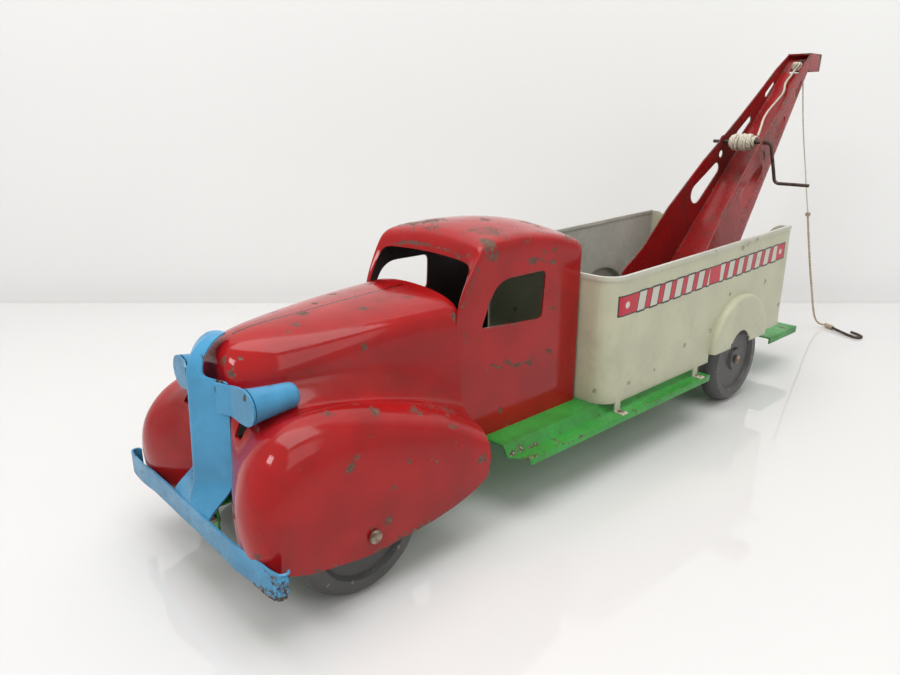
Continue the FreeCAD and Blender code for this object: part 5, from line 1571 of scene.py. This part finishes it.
@dataclass
class Winch:
    """The crank's wire and the string wound on it."""

    strand: float = 0.8
    layers: tuple[tuple[float, float, float, int], ...] = (
        (1.9, -9.6, 8.6, 11), (3.3, 8.4, -9.0, 10), (4.5, -8.6, 7.4, 9), (5.2, 5.0, -6.4, 5))

    def winding_line(self) -> np.ndarray:
        """The wound string's centre, in millimetres from the crank's axis.

        Each layer is a helix: it goes from one end to the other while its radius wanders, and
        each starts where the last one stopped.
        """
        parts = []
        for index, (radius, first, last, turns) in enumerate(self.layers):
            t = np.linspace(0, 1, turns * 26)
            angle = 2 * np.pi * turns * t
            out = radius + 0.35 * np.sin(3.1 * turns * t * 2 + index) + 0.3 * np.sin(19 * t + 2 * index)
            x = first + (last - first) * t + 0.7 * np.sin(9 * t + index) * (index > 0)
            parts.append(np.column_stack([x, out * np.cos(angle), out * np.sin(angle)]))
        return np.concatenate(parts)

    def build(self, finishes: Finishes) -> None:
        """Winds the string round the wire of the CAD crank."""
        low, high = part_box("line_winding")
        centre = (np.array(low) + np.array(high)) / 2
        line = self.winding_line() * MM + np.array([0.0, centre[1], centre[2]])
        made = twisted_tube("wound_string", evenly(line, 0.0005), self.strand, 5.5)
        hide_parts("line_winding")
        dress(made, Slot.STRING, "winch_crank", finishes.pale_cotton)


# ---------------------------------------------------------------- pieces kept from the frame


class KeptPieces:
    """CAD nodes whose shape stays, and that get a detailed finish."""

    def build(self, finishes: Finishes) -> None:
        """Puts each finish into its nodes' own material slots."""
        groups = {
            "steel": [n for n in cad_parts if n.endswith("_rivets") or n.endswith("_axle")],
            "wire": ["crank", "hook"],
            "rubber": [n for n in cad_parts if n.endswith("_wheel")],
        }
        materials = {"steel": finishes.steel, "wire": finishes.wire, "rubber": finishes.rubber}
        for kind, names in groups.items():
            for name in names:
                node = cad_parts[name]
                node.data.materials.clear()
                node.data.materials.append(materials[kind])
                LOG.info("%s: kept, %s", name, kind)


# ---------------------------------------------------------------- floor, light and camera


@dataclass
class Studio:
    """Pale table, soft light and the camera."""

    camera_at: Point = (0.24784, -0.34476, 0.17922)
    heading_deg: float = 47.57
    pitch_deg: float = 17.64
    lens: float = 28.876
    table_edge: float = 0.673
    wall_gap: float = 0.02

    def heading(self) -> Vector:
        """The level direction that the camera faces."""
        turn = math.radians(self.heading_deg)
        return Vector((-math.sin(turn), math.cos(turn), 0.0))

    def make_camera(self) -> None:
        """Puts the camera in its place."""
        data = bpy.data.cameras.new("camera")
        data.lens, data.sensor_width = self.lens, 36.0
        data.clip_start, data.clip_end = 0.01, 50.0
        made = bpy.data.objects.new("camera", data)
        bpy.context.scene.collection.objects.link(made)
        pitch = math.radians(self.pitch_deg)
        look = self.heading() * math.cos(pitch) + Vector((0, 0, -math.sin(pitch)))
        made.location = Vector(self.camera_at)
        made.rotation_mode = "QUATERNION"
        made.rotation_quaternion = look.to_track_quat("-Z", "Y")
        bpy.context.scene.camera = made

    def make_floor(self) -> None:
        """A pale table that ends behind the truck, and a wall past its edge."""
        ahead = self.heading()
        side = Vector((ahead.y, -ahead.x, 0.0))
        foot = Vector((self.camera_at[0], self.camera_at[1], 0.0))
        across = np.linspace(-4, 4, 9)[:, None, None] * np.array(side)
        reach = np.linspace(-3, self.table_edge, 9)[None, :, None] * np.array(ahead)
        table = new_object("table", np.array(foot) + across + reach, grid_faces(9, 9)[:, ::-1])
        table.data.materials.append(Backdrop("pale_table", (0.69, 0.685, 0.68), 0.035).build())
        height = np.linspace(-1.0, 3.0, 9)[None, :, None] * np.array([0.0, 0.0, 1.0])
        back = np.array(foot + ahead * (self.table_edge + self.wall_gap))
        wall = new_object("wall", back + across + height, grid_faces(9, 9))
        wall.data.materials.append(Backdrop("pale_wall", (0.86, 0.86, 0.855), 0.55).build())

    def lamp(self, name: str, at: Point, aim: Point, size: tuple[float, float], power: float) -> None:
        """One soft rectangular light."""
        data = bpy.data.lights.new(name, "AREA")
        data.shape, data.size, data.size_y, data.energy = "RECTANGLE", size[0], size[1], power
        made = bpy.data.objects.new(name, data)
        bpy.context.scene.collection.objects.link(made)
        made.location = Vector(at)
        made.rotation_mode = "QUATERNION"
        made.rotation_quaternion = (Vector(aim) - Vector(at)).to_track_quat("-Z", "Y")

    def make_light(self) -> None:
        """A pale sky and two large soft lights."""
        world = bpy.data.worlds.new("pale_sky")
        world.use_nodes = True
        back = next(n for n in world.node_tree.nodes if n.type == "BACKGROUND")
        back.inputs["Color"].default_value = (1.0, 0.99, 0.965, 1.0)
        back.inputs["Strength"].default_value = 0.62
        bpy.context.scene.world = world
        self.lamp("overhead", (0.02, -0.12, 1.3), (0.0, 0.02, 0.0), (1.3, 0.8), 11.0)
        self.lamp("glint", (0.15, -1.1, 0.95), (0.02, -0.1, 0.05), (0.42, 0.26), 4.0)
        self.lamp("from_the_side", (1.3, -0.1, 1.0), (0.0, 0.05, 0.05), (0.9, 0.9), 3.5)
        bpy.context.scene.view_settings.view_transform = "Standard"

    def build(self) -> None:
        """Makes the floor, the lights and the camera."""
        self.make_camera()
        self.make_floor()
        self.make_light()


def main() -> None:
    """Builds the whole scene in order."""
    logging.basicConfig(level=logging.INFO, format="%(name)s %(message)s")
    Studio().build()
    finishes = Finishes()
    TowLine().build(finishes)
    Winch().build(finishes)
    CabAndFenders().build(finishes)
    GrilleAndBumper().build(finishes)
    Chassis().build(finishes)
    PrintedTruckBed().build(finishes)
    SlottedBoom().build(finishes)
    KeptPieces().build(finishes)


if __name__ == "__main__":
    main()
